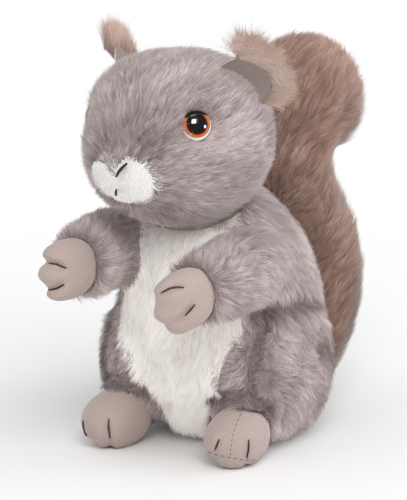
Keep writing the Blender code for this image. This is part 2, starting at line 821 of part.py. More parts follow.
def foot_point(unit):
    """A blunt boot: X forward, Z up, flat on its sole, with three toes pinched by two stitches."""
    turn = math.atan2(unit.y, unit.x)
    out = math.hypot(unit.x, unit.y)
    edge = math.hypot(math.cos(turn) * FOOT_LENGTH / 2, math.sin(turn) * FOOT_WIDTH / 2)
    pinch = bulge(abs(turn) - TOE_SPREAD, TOE_NOTCH_WIDTH)
    reach = edge * (1 - TOE_NOTCH * pinch) * out ** 0.85
    half = (FOOT_HEIGHT + FOOT_SQUASH) / 2
    height = half * (1 + unit.z) - FOOT_SQUASH
    slope = 1 - TOE_SLOPE * max(unit.x, 0) * max(unit.z, 0)
    return Vector((math.cos(turn) * reach, math.sin(turn) * reach, height * slope))


def make_foot(name, side, jersey, brown):
    whole = ball(FOOT_COLUMNS, FOOT_ROWS, foot_point)
    cut_at_floor(whole)
    face_outward(whole)
    tree = surface_tree(whole)
    foot = finish_mesh(whole, "foot_" + name, jersey)
    front = leg_centre(side).y - LEG_LENGTH / 2 - FOOT_PROUD
    foot.location = (leg_centre(side).x + side * FOOT_SPREAD, front + FOOT_LENGTH / 2, 0)
    foot.rotation_euler = (0, 0, -math.pi / 2 + side * FOOT_TURN_OUT)
    tip, base = TOE_STITCH_REACH
    low, high = TOE_STITCH_HEIGHT
    for number, sign in ((1, 1), (2, -1)):
        turn = sign * TOE_SPREAD
        spots = []
        for k in range(5):
            reach = FOOT_LENGTH / 2 * (tip + (base - tip) * k / 4)
            height = FOOT_HEIGHT * (low + (high - low) * k / 4)
            spots.append(Vector((math.cos(turn) * reach, math.sin(turn) * reach, height)))
        points = seat_on(spots, tree, THREAD / 2 + SEAM_GAP)
        stitch = thread(f"toe_stitch_{name}_{number}", points, THREAD, brown)
        stitch.location = foot.location
        stitch.rotation_euler = foot.rotation_euler
    return foot


# Tail
TAIL_COLUMNS = 22
TAIL_RINGS = 14
CURL_COLUMNS = 22
CURL_ROWS = 13


def tail_path(share):
    """Middle of the tail in its upright plane, from its root in the body up into the curl."""
    back = BODY_BACK + BODY_DEPTH / 2
    rise = TAIL_TOP - TAIL_DEPTH / 2
    along = [-TAIL_ROOT_SINK] + [part * TAIL_STAND_OFF for part in TAIL_BACK]
    up = [part * rise for part in TAIL_UP]
    place = share * (len(along) - 1)
    k = min(int(place), len(along) - 2)
    part = place - k

    def blend(values):
        before = values[max(k - 1, 0)]
        start, end = values[k], values[k + 1]
        after = values[min(k + 2, len(values) - 1)]
        bend = 2 * before - 5 * start + 4 * end - after
        twist = 3 * start - before - 3 * end + after
        return start + 0.5 * part * ((end - before) + part * (bend + part * twist))

    return Vector((0, back + blend(along), blend(up)))


def tail_girth(share):
    """Thickness along the tail: full low down, then a waist under the curl."""
    fill = math.sin(min(share / TAIL_FULL_SHARE, 1) * math.pi / 2)
    girth = TAIL_ROOT_GIRTH + (TAIL_FULL_GIRTH - TAIL_ROOT_GIRTH) * fill
    return girth - (TAIL_FULL_GIRTH - TAIL_WAIST) * bulge(share - TAIL_WAIST_SHARE, TAIL_WAIST_REACH)


def curl_point(unit):
    """The curl: a ball that hangs a little to the back and down."""
    centre_back = BODY_BACK + BODY_DEPTH / 2 + CURL_BACK
    centre = Vector((0, centre_back, TAIL_TOP - CURL_DIAMETER / 2))
    hang = 1 + CURL_HANG * max(unit.y - unit.z, 0) ** 2 / 2
    return centre + unit * hang * CURL_DIAMETER / 2


def make_tail(brown_pile, grown_body, leg_rooms):
    rings = []
    for k in range(TAIL_RINGS + 1):
        share = k / TAIL_RINGS
        ahead = tail_path(min(share + RING_EASE, 1)) - tail_path(max(share - RING_EASE, 0))
        half_width = tail_girth(share) * TAIL_WIDTH / 2
        half_depth = tail_girth(share) * TAIL_DEPTH / 2
        rings.append((tail_path(share), ahead, half_width, half_depth, Vector((1, 0, 0))))
    bm = loft(rings, TAIL_COLUMNS)
    cut_at_floor(bm)
    tail = finish_mesh(bm, "tail", brown_pile)
    curl = finish_mesh(ball(CURL_COLUMNS, CURL_ROWS, curl_point), "tail_curl", brown_pile)
    curl.hide_render = True
    curl.display_type = "WIRE"
    join = tail.modifiers.new("join the curl", "BOOLEAN")
    join.operation = "UNION"
    join.solver = "EXACT"
    join.object = curl
    cut_by(tail, grown_body, *leg_rooms)


def build():
    clear_scene()
    grey = material("grey pile", GREY_PILE, 0.95)
    white = material("white pile", WHITE_PILE, 0.95)
    brown_pile = material("brown pile", BROWN_PILE, 0.95)
    tuft = material("tuft pile", TUFT_PILE, 0.95)
    jersey = material("ribbed jersey", JERSEY, 0.9)
    lining = material("lining jersey", LINING_JERSEY, 0.9)
    brown = material("brown thread", THREAD_BROWN, 0.6)
    orange = material("orange eye", EYE_ORANGE, 0.15)
    washer = material("white washer", WASHER_WHITE, 0.4)

    pose = bpy.data.objects.new("head_pose", None)
    bpy.context.collection.objects.link(pose)
    pose.location = (0, -HEAD_FORWARD, BODY_HEIGHT + HEAD_HEIGHT / 2 - NECK_SINK)
    pose.rotation_euler = (0, HEAD_ROLL, HEAD_TURN)

    head, muzzle, head_outline, head_tree = make_head(grey, white)
    stitches = make_nose(head_tree, brown)
    for piece in (head, muzzle, head_outline, *stitches):
        piece.parent = pose
    grown_head = clearance_cutter(head_outline, "head_room")
    make_eyes(pose, head, orange, washer)
    make_ears(pose, grown_head, tuft, lining)

    body, belly, body_outline = make_body(grey, white)
    grown_body = clearance_cutter(body_outline, "body_room")
    for piece in (body, belly):
        cut_by(piece, grown_head)
    arm_rooms = make_arms(grey, jersey, brown, grown_body)
    leg_rooms = make_legs(grey, jersey, brown, grown_body, arm_rooms)
    make_tail(brown_pile, grown_body, leg_rooms)
    for spare in (head_outline, body_outline):
        bpy.data.objects.remove(spare, do_unlink=True)


build()
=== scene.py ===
"""A seated plush squirrel: sewn skins with real lengths of pile, jersey hands and feet, plastic eyes."""

import math

import bmesh
import bpy
import numpy as np
from mathutils import Matrix, Vector, kdtree
from mathutils.bvhtree import BVHTree


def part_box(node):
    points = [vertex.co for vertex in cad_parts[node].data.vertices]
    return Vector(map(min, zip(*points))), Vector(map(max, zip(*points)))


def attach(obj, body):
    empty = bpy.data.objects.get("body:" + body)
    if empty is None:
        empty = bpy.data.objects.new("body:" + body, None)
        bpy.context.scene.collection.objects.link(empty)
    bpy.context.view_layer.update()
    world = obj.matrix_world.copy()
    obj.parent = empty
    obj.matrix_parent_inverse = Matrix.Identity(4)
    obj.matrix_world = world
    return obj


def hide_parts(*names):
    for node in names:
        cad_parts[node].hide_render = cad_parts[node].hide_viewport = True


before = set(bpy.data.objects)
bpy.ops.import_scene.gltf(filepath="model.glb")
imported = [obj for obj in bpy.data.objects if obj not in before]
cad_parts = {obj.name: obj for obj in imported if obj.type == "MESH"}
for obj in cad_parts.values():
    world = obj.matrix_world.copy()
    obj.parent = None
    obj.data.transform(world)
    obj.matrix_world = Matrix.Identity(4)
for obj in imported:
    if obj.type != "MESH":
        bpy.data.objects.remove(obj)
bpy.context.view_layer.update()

# The view and the light of the photograph
# A pale table in a white studio: a wide soft box above, another behind on the right, and two lamps
# that only glint in the eyes.
VIEW_TURN = math.radians(30)
VIEW_RISE = math.radians(14)
VIEW_DISTANCE = 2.0
PIXEL = 0.00041
VIEW_WIDTH, VIEW_HEIGHT = 407, 500
ORIGIN_X, ORIGIN_Y = 206.5, 438
ROOM_LIGHT = 0.74
TABLE_COLOUR = (0.91, 0.91, 0.91, 1)
TABLE_RADIUS = 9
TABLE_FADE_FROM = 0.14
TABLE_FADE_TO = 0.40
CHEST = (0, 0, 0.08)
NEAR_EYE = (0.022, -0.047, 0.143)


def hang_lamp(name, place, aim, size, power):
    """A square soft box turned to the plush."""
    light = bpy.data.lights.new(name, "AREA")
    light.size = size
    light.energy = power
    lamp = bpy.data.objects.new(name, light)
    bpy.context.scene.collection.objects.link(lamp)
    lamp.location = place
    lamp.rotation_euler = (Vector(place) - Vector(aim)).to_track_quat("Z", "Y").to_euler()
    return lamp


def camera_sees(tree, amount_socket):
    """Feeds a socket with 1 where the camera sees it straight, in gloss or through glass, else 0."""
    path = tree.nodes.new("ShaderNodeLightPath")
    straight = tree.nodes.new("ShaderNodeMath")
    straight.operation = "MAXIMUM"
    seen = tree.nodes.new("ShaderNodeMath")
    seen.operation = "MAXIMUM"
    tree.links.new(path.outputs["Is Camera Ray"], straight.inputs[0])
    tree.links.new(path.outputs["Is Transmission Ray"], straight.inputs[1])
    tree.links.new(straight.outputs[0], seen.inputs[0])
    tree.links.new(path.outputs["Is Glossy Ray"], seen.inputs[1])
    tree.links.new(seen.outputs[0], amount_socket)


def light_room(level):
    """An even white room, which the camera sees at plain white."""
    world = bpy.data.worlds.new("white studio")
    world.use_nodes = True
    bpy.context.scene.world = world
    tree = world.node_tree
    light = tree.nodes["Background"]
    light.inputs["Color"].default_value = (1, 1, 1, 1)
    light.inputs["Strength"].default_value = level
    shown = tree.nodes.new("ShaderNodeBackground")
    shown.inputs["Color"].default_value = (1, 1, 1, 1)
    pick = tree.nodes.new("ShaderNodeMixShader")
    camera_sees(tree, pick.inputs["Fac"])
    tree.links.new(light.outputs[0], pick.inputs[1])
    tree.links.new(shown.outputs[0], pick.inputs[2])
    tree.links.new(pick.outputs[0], tree.nodes["World Output"].inputs["Surface"])


def new_finish(name, roughness, specular):
    """A material, its node tree and its shader, with a plain gloss."""
    made = bpy.data.materials.new(name)
    made.use_nodes = True
    shader = made.node_tree.nodes["Principled BSDF"]
    shader.inputs["Roughness"].default_value = roughness
    shader.inputs["Specular IOR Level"].default_value = specular
    return made, made.node_tree, shader


def table_finish():
    """Matt white near the plush, so that its shadow shows, running out to plain white."""
    made, tree, matt = new_finish("white table", roughness=0.9, specular=0.1)
    matt.inputs["Base Color"].default_value = TABLE_COLOUR
    white = tree.nodes.new("ShaderNodeEmission")
    place = tree.nodes.new("ShaderNodeTexCoord")
    apart = tree.nodes.new("ShaderNodeVectorMath")
    apart.operation = "LENGTH"
    reach = tree.nodes.new("ShaderNodeMapRange")
    reach.interpolation_type = "SMOOTHSTEP"
    reach.inputs["From Min"].default_value = TABLE_FADE_FROM
    reach.inputs["From Max"].default_value = TABLE_FADE_TO
    share = tree.nodes.new("ShaderNodeMath")
    share.operation = "MULTIPLY"
    camera_sees(tree, share.inputs[1])
    pick = tree.nodes.new("ShaderNodeMixShader")
    tree.links.new(place.outputs["Object"], apart.inputs[0])
    tree.links.new(apart.outputs["Value"], reach.inputs["Value"])
    tree.links.new(reach.outputs["Result"], share.inputs[0])
    tree.links.new(share.outputs[0], pick.inputs["Fac"])
    tree.links.new(matt.outputs[0], pick.inputs[1])
    tree.links.new(white.outputs[0], pick.inputs[2])
    tree.links.new(pick.outputs[0], tree.nodes["Material Output"].inputs["Surface"])
    return made


def lay_table():
    bm = bmesh.new()
    bmesh.ops.create_circle(bm, cap_ends=True, segments=96, radius=TABLE_RADIUS)
    mesh = bpy.data.meshes.new("table")
    bm.to_mesh(mesh)
    bm.free()
    table = bpy.data.objects.new("table", mesh)
    bpy.context.scene.collection.objects.link(table)
    mesh.materials.append(table_finish())


def picture_frame():
    """The camera's place, and the way back to it, right and up in the picture."""
    flat = math.cos(VIEW_RISE)
    back = Vector((math.sin(VIEW_TURN) * flat, -math.cos(VIEW_TURN) * flat, math.sin(VIEW_RISE)))
    right = Vector((math.cos(VIEW_TURN), math.sin(VIEW_TURN), 0))
    up = back.cross(right)
    aim = right * (VIEW_WIDTH / 2 - ORIGIN_X) * PIXEL + up * (ORIGIN_Y - VIEW_HEIGHT / 2) * PIXEL
    return aim + back * VIEW_DISTANCE, back, right, up


def aim_camera():
    """Looks at the plush so that the middle of its seat falls where the photograph has it."""
    camera = bpy.data.cameras.new("camera")
    camera.sensor_fit = "VERTICAL"
    camera.sensor_height = 36
    camera.lens = 36 * VIEW_DISTANCE / (VIEW_HEIGHT * PIXEL)
    holder = bpy.data.objects.new("camera", camera)
    bpy.context.scene.collection.objects.link(holder)
    eye, back, _, _ = picture_frame()
    holder.location = eye
    holder.rotation_euler = back.to_track_quat("Z", "Y").to_euler()
    bpy.context.scene.camera = holder


def spot_at(tree, picture_x, picture_y):
    """The (place, normal) of a surface behind a point of the picture, or (None, None)."""
    eye, back, right, up = picture_frame()
    over = right * (picture_x - VIEW_WIDTH / 2) + up * (VIEW_HEIGHT / 2 - picture_y)
    return tree.ray_cast(eye, (over * PIXEL - back * VIEW_DISTANCE).normalized())[:2]


def in_picture(place):
    """The point of the picture where a place shows."""
    eye, back, right, up = picture_frame()
    sight = place - eye
    scale = VIEW_DISTANCE / -sight.dot(back) / PIXEL
    return VIEW_WIDTH / 2 + sight.dot(right) * scale, VIEW_HEIGHT / 2 - sight.dot(up) * scale


def along_run(points, share):
    """The place at a share of the way along a run of picture points."""
    lengths = [math.dist(a, b) for a, b in zip(points, points[1:])]
    left = share * sum(lengths)
    for (a, b), length in zip(zip(points, points[1:]), lengths):
        if left <= length:
            return tuple(one + (two - one) * left / length for one, two in zip(a, b))
        left -= length
    return points[-1]


bpy.context.scene.view_settings.view_transform = "Standard"
aim_camera()
light_room(ROOM_LIGHT)
hang_lamp("soft box", (0.80, -1.0, 1.5), CHEST, size=1.0, power=15)
hang_lamp("side box", (1.25, 1.0, 1.0), CHEST, size=0.8, power=6)
for name, place, size, power in (
    ("big glint", (0.58, -1.01, 1.15), 0.62, 130),
    ("small glint", (1.50, 0.06, 0.31), 0.30, 40),
):
    glint = hang_lamp(name, place, NEAR_EYE, size, power)
    glint.visible_diffuse = False
lay_table()

# Body and belly
# One egg of cloth, filled with fibre. The white belly is let into its front, and the two share a
# seam, so both piles stand on one skin. The grey pile is knitted, about 5 mm long.
GREY_DARK = (0.125, 0.092, 0.092)
GREY_MID = (0.43, 0.352, 0.350)
GREY_LIGHT = (0.74, 0.635, 0.625)
GREY_CLOTH = (0.27, 0.215, 0.215)
WHITE_DARK = (0.72, 0.65, 0.57)
WHITE_MID = (0.93, 0.89, 0.84)
WHITE_LIGHT = (1.0, 0.98, 0.95)
WHITE_CLOTH = (0.76, 0.70, 0.64)
TONES = 40


def add_object(name, mesh, *finishes):
    made = bpy.data.objects.new(name, mesh)
    bpy.context.scene.collection.objects.link(made)
    for finish in finishes:
        mesh.materials.append(finish)
    return made


def add_shape(name, bm, *finishes):
    """A smooth piece from a bmesh, which is used up."""
    mesh = bpy.data.meshes.new(name)
    bm.to_mesh(mesh)
    bm.free()
    mesh.shade_smooth()
    return add_object(name, mesh, *finishes)


def soften(bm, verts, rounds):
    """Evens out some vertices, as stuffing evens out a cloth."""
    for _ in range(rounds):
        bmesh.ops.smooth_vert(
            bm, verts=verts, factor=0.5, use_axis_x=True, use_axis_y=True, use_axis_z=True
        )


def push_out(bm, distance_at):
    """Moves each vertex along its normal by what a function gives for it."""
    moves = [(vert, vert.normal * distance_at(vert)) for vert in bm.verts]
    for vert, move in moves:
        vert.co += move


def middle_of(node):
    low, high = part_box(node)
    return (np.array(low) + np.array(high)) / 2


def cad_copy(*nodes, grown=0.0):
    """The CAD solids of some nodes in one bmesh, with their facets joined up, and grown over seams."""
    bm = bmesh.new()
    for node in nodes:
        bm.from_mesh(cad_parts[node].data)
    bmesh.ops.remove_doubles(bm, verts=bm.verts, dist=1e-6)
    bm.normal_update()
    push_out(bm, lambda vert: grown)
    return bm


def rounded(name, bm, voxel, rounds):
    """Gives back the shape with even faces and softened edges, as cloth over stuffing has."""
    mesh = bpy.data.meshes.new(name)
    bm.to_mesh(mesh)
    bm.free()
    rough = bpy.data.objects.new(name, mesh)
    bpy.context.scene.collection.objects.link(rough)
    step = rough.modifiers.new("even faces", "REMESH")
    step.mode = "VOXEL"
    step.voxel_size = voxel
    graph = bpy.context.evaluated_depsgraph_get()
    even = bmesh.new()
    even.from_object(rough, graph)
    bpy.data.objects.remove(rough)
    soften(even, even.verts, rounds)
    even.normal_update()
    return even


SEAM_CLOSING = 0.0005
EASE_REACH = 0.0065
EASE_ROUNDS = 30
SNUG_REACH = 0.0050
SNUG_LEAST = 0.25
SEAT_CLEARANCE = 0.0006
FOLD_DEPTH = 0.0036
FOLD_WIDTH = 0.0024
FOLD_REACH = 0.0100
PATCH_MARGIN = 0.0006


def fold_share(place, normal, folds):
    """How deep a place lies in the nearest fold, from 0 to 1, as seen straight down on the cloth."""
    near = 1
    for fold in folds:
        for spot in fold:
            apart = place - spot
            if apart.length < FOLD_REACH:
                near = min(near, (apart - normal * apart.dot(normal)).length)
    return math.exp(-(near / FOLD_WIDTH) ** 2)


def fold_run(tree, points, steps=30):
    """Places on a surface along picture points, and their mirror images on the other side."""
    found = []
    for k in range(steps + 1):
        place = spot_at(tree, *along_run(points, k / steps))[0]
        if place is not None:
            found += [place, Vector((-place.x, place.y, place.z))]
    return found


def belongs(piece, slot, *nodes):
    """A piece is fixed to the plush and may stand for CAD nodes, which are hidden; the slot is not used."""
    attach(piece, "root")
    if nodes:
        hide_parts(*nodes)


def sewn_skin(name, nodes, inset, cloth, slot, voxel=0.0018, patch=None, patch_cloth=None,
              eased=(), snug=(), folds=()):
    """The cloth that a pile is rooted in: the solids' own form, drawn in by the pile's depth.

    Each eased pair of nodes runs into one another above a height, with no fold between them. The
    cloth comes out to meet the snug nodes, and it is pulled in along the folds.
    """
    bm = rounded(name, cad_copy(*nodes, grown=SEAM_CLOSING), voxel, 3)
    for one, other, height in eased:
        trees = tree_of(one), tree_of(other)
        fold = [vert for vert in bm.verts if vert.co.z > height]
        fold = [
            vert for vert in fold if all(tree.find_nearest(vert.co, EASE_REACH)[0] for tree in trees)
        ]
        soften(bm, fold, EASE_ROUNDS)
    bm.normal_update()
    meet = tree_of(*snug) if snug else None

    def drawn_in(vert):
        apart = meet.find_nearest(vert.co, SNUG_REACH)[3] if meet else None
        share = 1 if apart is None else max(SNUG_LEAST, apart / SNUG_REACH)
        return -(inset * share + SEAM_CLOSING + FOLD_DEPTH * fold_share(vert.co, vert.normal, folds))

    push_out(bm, drawn_in)
    for vert in bm.verts:
        vert.co.z = max(vert.co.z, SEAT_CLEARANCE)
    if patch:
        tree = tree_of(patch)
        for face in bm.faces:
            near = tree.find_nearest(face.calc_center_median(), inset + PATCH_MARGIN)[0]
            face.material_index = 0 if near is None else 1
    cloths = [cloth, patch_cloth] if patch else [cloth]
    skin = add_shape(name, bm, *cloths)
    belongs(skin, slot, *nodes)
    return skin


def tree_of(*nodes):
    bm = cad_copy(*nodes)
    tree = BVHTree.FromBMesh(bm)
    bm.free()
    return tree


def near_to(tree, places, reach):
    """Which of the places lie within reach of a surface."""
    return np.array([tree.find_nearest(Vector(place), reach)[0] is not None for place in places])


def nearest_node(places, nodes, reach=0.0090):
    """For each place, the number of the node whose surface is nearest, or -1 where none is in reach."""
    best = np.full(len(places), reach)
    found = np.full(len(places), -1)
    spots = [Vector(place) for place in places]
    for number, node in enumerate(nodes):
        tree = tree_of(node)
        for k, spot in enumerate(spots):
            distance = tree.find_nearest(spot, best[k])[3]
            if distance is not None and distance < best[k]:
                best[k] = distance
                found[k] = number
    return found


def unit(vectors):
    return vectors / np.maximum(np.linalg.norm(vectors, axis=1, keepdims=True), 1e-9)


def drift(places, size, seed):
    """Three smooth random values for each place, about -1 to 1, that change over the given size."""
    rng = np.random.default_rng(seed)
    found = np.zeros((len(places), 3))
    for _ in range(5):
        waves = rng.normal(size=(3, 3)) * (1.6 / size)
        found += np.sin(places @ waves + rng.uniform(0, 2 * math.pi, 3))
    return found / 2.4


def roots_on(skin, count, seed):
    """Evenly scattered (places, normals) on a skin."""
    rng = np.random.default_rng(seed)
    mesh = skin.data
    mesh.calc_loop_triangles()
    corners = np.empty(len(mesh.loop_triangles) * 3, np.int32)
    mesh.loop_triangles.foreach_get("vertices", corners)
    corners = corners.reshape(-1, 3)
    places = np.empty(len(mesh.vertices) * 3, np.float32)
    mesh.vertices.foreach_get("co", places)
    places = places.reshape(-1, 3).astype(float)
    normals = np.empty(len(mesh.vertices) * 3, np.float32)
    mesh.vertices.foreach_get("normal", normals)
    normals = normals.reshape(-1, 3).astype(float)
    a, b, c = (places[corners[:, k]] for k in range(3))
    edge = np.cumsum(np.linalg.norm(np.cross(b - a, c - a), axis=1))
    picks = (np.arange(count) + rng.uniform(0, 1, count)) / count * edge[-1]
    faces = np.minimum(np.searchsorted(edge, picks), len(corners) - 1)
    across = np.sqrt(rng.uniform(0, 1, count))
    along = rng.uniform(0, 1, count)
    shares = np.stack([1 - across, across * (1 - along), across * along], 1)
    spots = sum(shares[:, k:k + 1] * places[corners[faces, k]] for k in range(3))
    ways = sum(shares[:, k:k + 1] * normals[corners[faces, k]] for k in range(3))
    return spots, unit(ways)


def clump_of(roots, share):
    """For each root, the root that its tuft gathers round, there being a share as many tufts."""
    centres = np.arange(0, len(roots), max(int(1 / share), 1))
    search = kdtree.KDTree(len(centres))
    for number, centre in enumerate(centres):
        search.insert(roots[centre], number)
    search.balance()
    return centres[[search.find(Vector(root))[1] for root in roots]]


TAPER = 1.6
ROLL = 0.45
MAP_EDGE = 0.02


def blades(name, rows, widths, normals, tones, finish):
    """One tapered blade a strand: rows are its points from root to tip, each an array of places.

    Fine fibres let light through, so a pile casts no shadow of its own, and its skin casts it.
    """
    count = len(tones)
    steps = len(rows) - 1
    ahead = unit(rows[-1] - rows[0])
    points = []
    faces_up = []
    for k, row in enumerate(rows):
        here = unit(rows[min(k + 1, steps)] - rows[max(k - 1, 0)])
        lean = unit(normals - here * np.sum(normals * here, axis=1, keepdims=True))
        soft = unit(0.62 * normals + 0.5 * lean)
        roll = ROLL * normals * np.sin(37 * tones * count)[:, None]
        across = unit(np.cross(ahead, normals) + roll)
        if k < steps:
            half = (widths * (1 - (k / steps) ** TAPER) / 2)[:, None]
            points += [row - across * half, row + across * half]
            faces_up += [soft, soft]
        else:
            points.append(row)
            faces_up.append(soft)
    per = len(points)
    places = np.stack(points, 1).reshape(-1, 3)
    shading = np.stack(faces_up, 1).reshape(-1, 3)
    loops = []
    maps = []
    half_tone = 0.3 / TONES
    column = (np.clip(tones, 0, 0.999) * TONES).astype(int) / TONES + 0.5 / TONES
    for k in range(steps):
        low, high = (MAP_EDGE + (1 - 2 * MAP_EDGE) * end / steps for end in (k, k + 1))
        if k < steps - 1:
            loops += [2 * k, 2 * k + 1, 2 * k + 3, 2 * k + 2]
            maps += [(-half_tone, low), (half_tone, low), (half_tone, high), (-half_tone, high)]
        else:
            loops += [2 * k, 2 * k + 1, 2 * k + 2]
            maps += [(-half_tone, low), (half_tone, low), (0, high)]
    firsts = np.arange(count)[:, None] * per
    corner = (firsts + np.array(loops)[None, :]).reshape(-1).astype(np.int32)
    sizes = [4] * (steps - 1) + [3]
    starts = np.cumsum([0] + sizes[:-1])
    mesh = bpy.data.meshes.new(name)
    mesh.vertices.add(len(places))
    mesh.vertices.foreach_set("co", places.reshape(-1).astype(np.float32))
    mesh.loops.add(len(corner))
    mesh.loops.foreach_set("vertex_index", corner)
    mesh.polygons.add(count * steps)
    per_strand = np.arange(count)[:, None] * len(loops)
    first_loops = (per_strand + starts[None, :]).reshape(-1)
    mesh.polygons.foreach_set("loop_start", first_loops.astype(np.int32))
    layout = np.zeros((count, len(maps), 2), np.float32)
    layout[:, :, 0] = column[:, None] + np.array([aside for aside, _ in maps])[None, :]
    layout[:, :, 1] = np.array([along for _, along in maps])[None, :]
    mesh.uv_layers.new(name="OFBake")
    mesh.update(calc_edges=True)
    mesh.uv_layers["OFBake"].data.foreach_set("uv", layout.reshape(-1))
    mesh.normals_split_custom_set_from_vertices(shading)
    pile = add_object(name, mesh, finish)
    pile.visible_shadow = False
    pile.visible_diffuse = False
    return pile


FLOOR_CLEARANCE = 0.0004
ROOT_DEPTH = 0.0004
STRAND_WIDTH = 0.00028


def grow_pile(name, roots, normals, comb, length, finish, tone, seed, slot, width=STRAND_WIDTH, rise=(50, 8),
              tufts=0.12, gather=0.45, curl=0.0005, steps=2, uneven=0.25, ruffle=0.25, mix=0.12):
    """Pile from roots: combed the way of comb, rising by the first angle and lying down to the second."""
    rng = np.random.default_rng(seed)
    count = len(roots)
    strength = np.linalg.norm(comb, axis=1, keepdims=True)
    ways = comb + ruffle * drift(roots, 0.009, seed + 1) * strength
    ways = ways + rng.normal(0, 0.13, (count, 3)) * strength
    flat = unit(ways - normals * np.sum(ways * normals, axis=1, keepdims=True))
    aside = np.cross(normals, flat)
    spread = rng.uniform(-1, 1, count) + 0.5 * drift(roots, 0.012, seed + 2)[:, 0]
    reach = length * (1 + uneven * spread)
    first, last = (math.radians(angle) for angle in rise)
    rows = [roots - normals * ROOT_DEPTH]
    wave = rng.uniform(0, 2 * math.pi, count)
    turn = rng.normal(0, 0.10, count)
    for k in range(steps):
        slope = first + (last - first) * (k + 0.5) / steps + turn
        step = normals * np.sin(slope)[:, None] + flat * np.cos(slope)[:, None]
        bend = aside * (np.sin(wave + 2.4 * k) * curl)[:, None]
        rows.append(rows[-1] + step * (reach / steps)[:, None] + bend)
    home = clump_of(roots, tufts)
    for k in range(1, steps + 1):
        pull = gather * (k / steps) ** 1.3
        rows[k] = rows[k] + (rows[k][home] - rows[k]) * pull
    for row in rows:
        row[:, 2] = np.maximum(row[:, 2], FLOOR_CLEARANCE)
    own = tone + mix * (0.6 * rng.normal(0, 1, count) + 1.2 * rng.normal(0, 1, count)[home])
    own = own + mix * drift(roots, 0.008, seed + 3)[:, 1]
    own = np.clip(own, 0.01, 0.99)
    pile = blades(name, rows, np.full(count, width), normals, own, finish)
    belongs(pile, slot)
    return pile


def new_group(name, *inputs):
    """A shader node group with named inputs and one colour out, and its two end nodes."""
    group = bpy.data.node_groups.new(name, "ShaderNodeTree")
    for kind, label in inputs:
        group.interface.new_socket(name=label, in_out="INPUT", socket_type="NodeSocket" + kind)
    group.interface.new_socket(name="Color", in_out="OUTPUT", socket_type="NodeSocketColor")
    return group, group.nodes.new("NodeGroupInput"), group.nodes.new("NodeGroupOutput")


def place_group(tree, group, **values):
    """The group in a material, with that material's own values."""
    placed = tree.nodes.new("ShaderNodeGroup")
    placed.node_tree = group
    for label, value in values.items():
        placed.inputs[label].default_value = value
    return placed


def blend(tree, amount, one, two):
    """A colour that goes from one socket's to another's as an amount goes from 0 to 1."""
    mix = tree.nodes.new("ShaderNodeMix")
    mix.data_type = "RGBA"
    tree.links.new(amount, mix.inputs["Factor"])
    tree.links.new(one, mix.inputs["A"])
    tree.links.new(two, mix.inputs["B"])
    return mix.outputs["Result"]


def stretch(tree, value, low, high):
    """0 where a value is at the low end or under it, rising to 1 at the high end."""
    reach = tree.nodes.new("ShaderNodeMapRange")
    reach.inputs["From Min"].default_value = low
    reach.inputs["From Max"].default_value = high
    tree.links.new(value, reach.inputs["Value"])
    return reach.outputs["Result"]


def strand_group():
    """Colour from a strand's own tone across its map, times a painted shade that clears up from the root."""
    group, given, result = new_group(
        "strand colour", ("Vector", "Map"), ("Color", "Dark"), ("Color", "Middle"), ("Color", "Light"),
        ("Color", "Root"), ("Color", "Tip"),
    )
    split = group.nodes.new("ShaderNodeSeparateXYZ")
    group.links.new(given.outputs["Map"], split.inputs[0])
    across, along = split.outputs["X"], split.outputs["Y"]
    lower = blend(group, stretch(group, across, 0, 0.5), given.outputs["Dark"], given.outputs["Middle"])
    tone = blend(group, stretch(group, across, 0.5, 1), lower, given.outputs["Light"])
    painted_shade = blend(group, stretch(group, along, 0, 0.75), given.outputs["Root"], given.outputs["Tip"])
    both = group.nodes.new("ShaderNodeMix")
    both.data_type = "RGBA"
    both.blend_type = "MULTIPLY"
    both.inputs["Factor"].default_value = 1
    group.links.new(tone, both.inputs["A"])
    group.links.new(painted_shade, both.inputs["B"])
    group.links.new(both.outputs["Result"], result.inputs["Color"])
    return group


def grain_group():
    """A fine grain between a deep and a pale colour."""
    group, given, result = new_group(
        "fine grain", ("Vector", "Place"), ("Float", "Scale"), ("Color", "Deep"), ("Color", "Pale"),
    )
    grain = group.nodes.new("ShaderNodeTexNoise")
    group.links.new(given.outputs["Place"], grain.inputs["Vector"])
    group.links.new(given.outputs["Scale"], grain.inputs["Scale"])
    colour = blend(group, grain.outputs["Fac"], given.outputs["Deep"], given.outputs["Pale"])
    group.links.new(colour, result.inputs["Color"])
    return group


strand_colour = strand_group()
fine_grain = grain_group()


def pile_finish(name, dark, middle, light, root):
    """Soft fibre with a faint sheen, painted darker towards the root as shade deep in the pile."""
    made, tree, shader = new_finish(name, roughness=0.75, specular=0.05)
    shader.inputs["Sheen Weight"].default_value = 0.35
    shader.inputs["Sheen Roughness"].default_value = 0.5
    shader.inputs["Sheen Tint"].default_value = (1.0, 0.95, 0.88, 1)
    strand = tree.nodes.new("ShaderNodeUVMap")
    strand.uv_map = "OFBake"
    # Painted shade: the root colour darkens each strand towards its root, as shade deep in the pile would.
    colour = place_group(
        tree, strand_colour, Dark=(*dark, 1), Middle=(*middle, 1), Light=(*light, 1),
        Root=(root, root * 0.96, root * 0.94, 1), Tip=(1, 1, 1, 1),
    )
    tree.links.new(strand.outputs["UV"], colour.inputs["Map"])
    tree.links.new(colour.outputs["Color"], shader.inputs["Base Color"])
    return made


def grained_finish(name, deep, pale, scale, roughness, specular):
    """A plain material whose colour has a fine grain."""
    made, tree, shader = new_finish(name, roughness, specular)
    place = tree.nodes.new("ShaderNodeTexCoord")
    colour = place_group(tree, fine_grain, Scale=scale, Deep=(*deep, 1), Pale=(*pale, 1))
    tree.links.new(place.outputs["Object"], colour.inputs["Place"])
    tree.links.new(colour.outputs["Color"], shader.inputs["Base Color"])
    return made


def cloth_finish(name, colour):
    """The woven back of a pile fabric, seen between the strands: its own colour, set darker to go with the
    painted shade at the pile's roots.
    """
    deep = [0.7 * part for part in colour]
    return grained_finish(name, deep, colour, scale=900, roughness=0.95, specular=0.05)


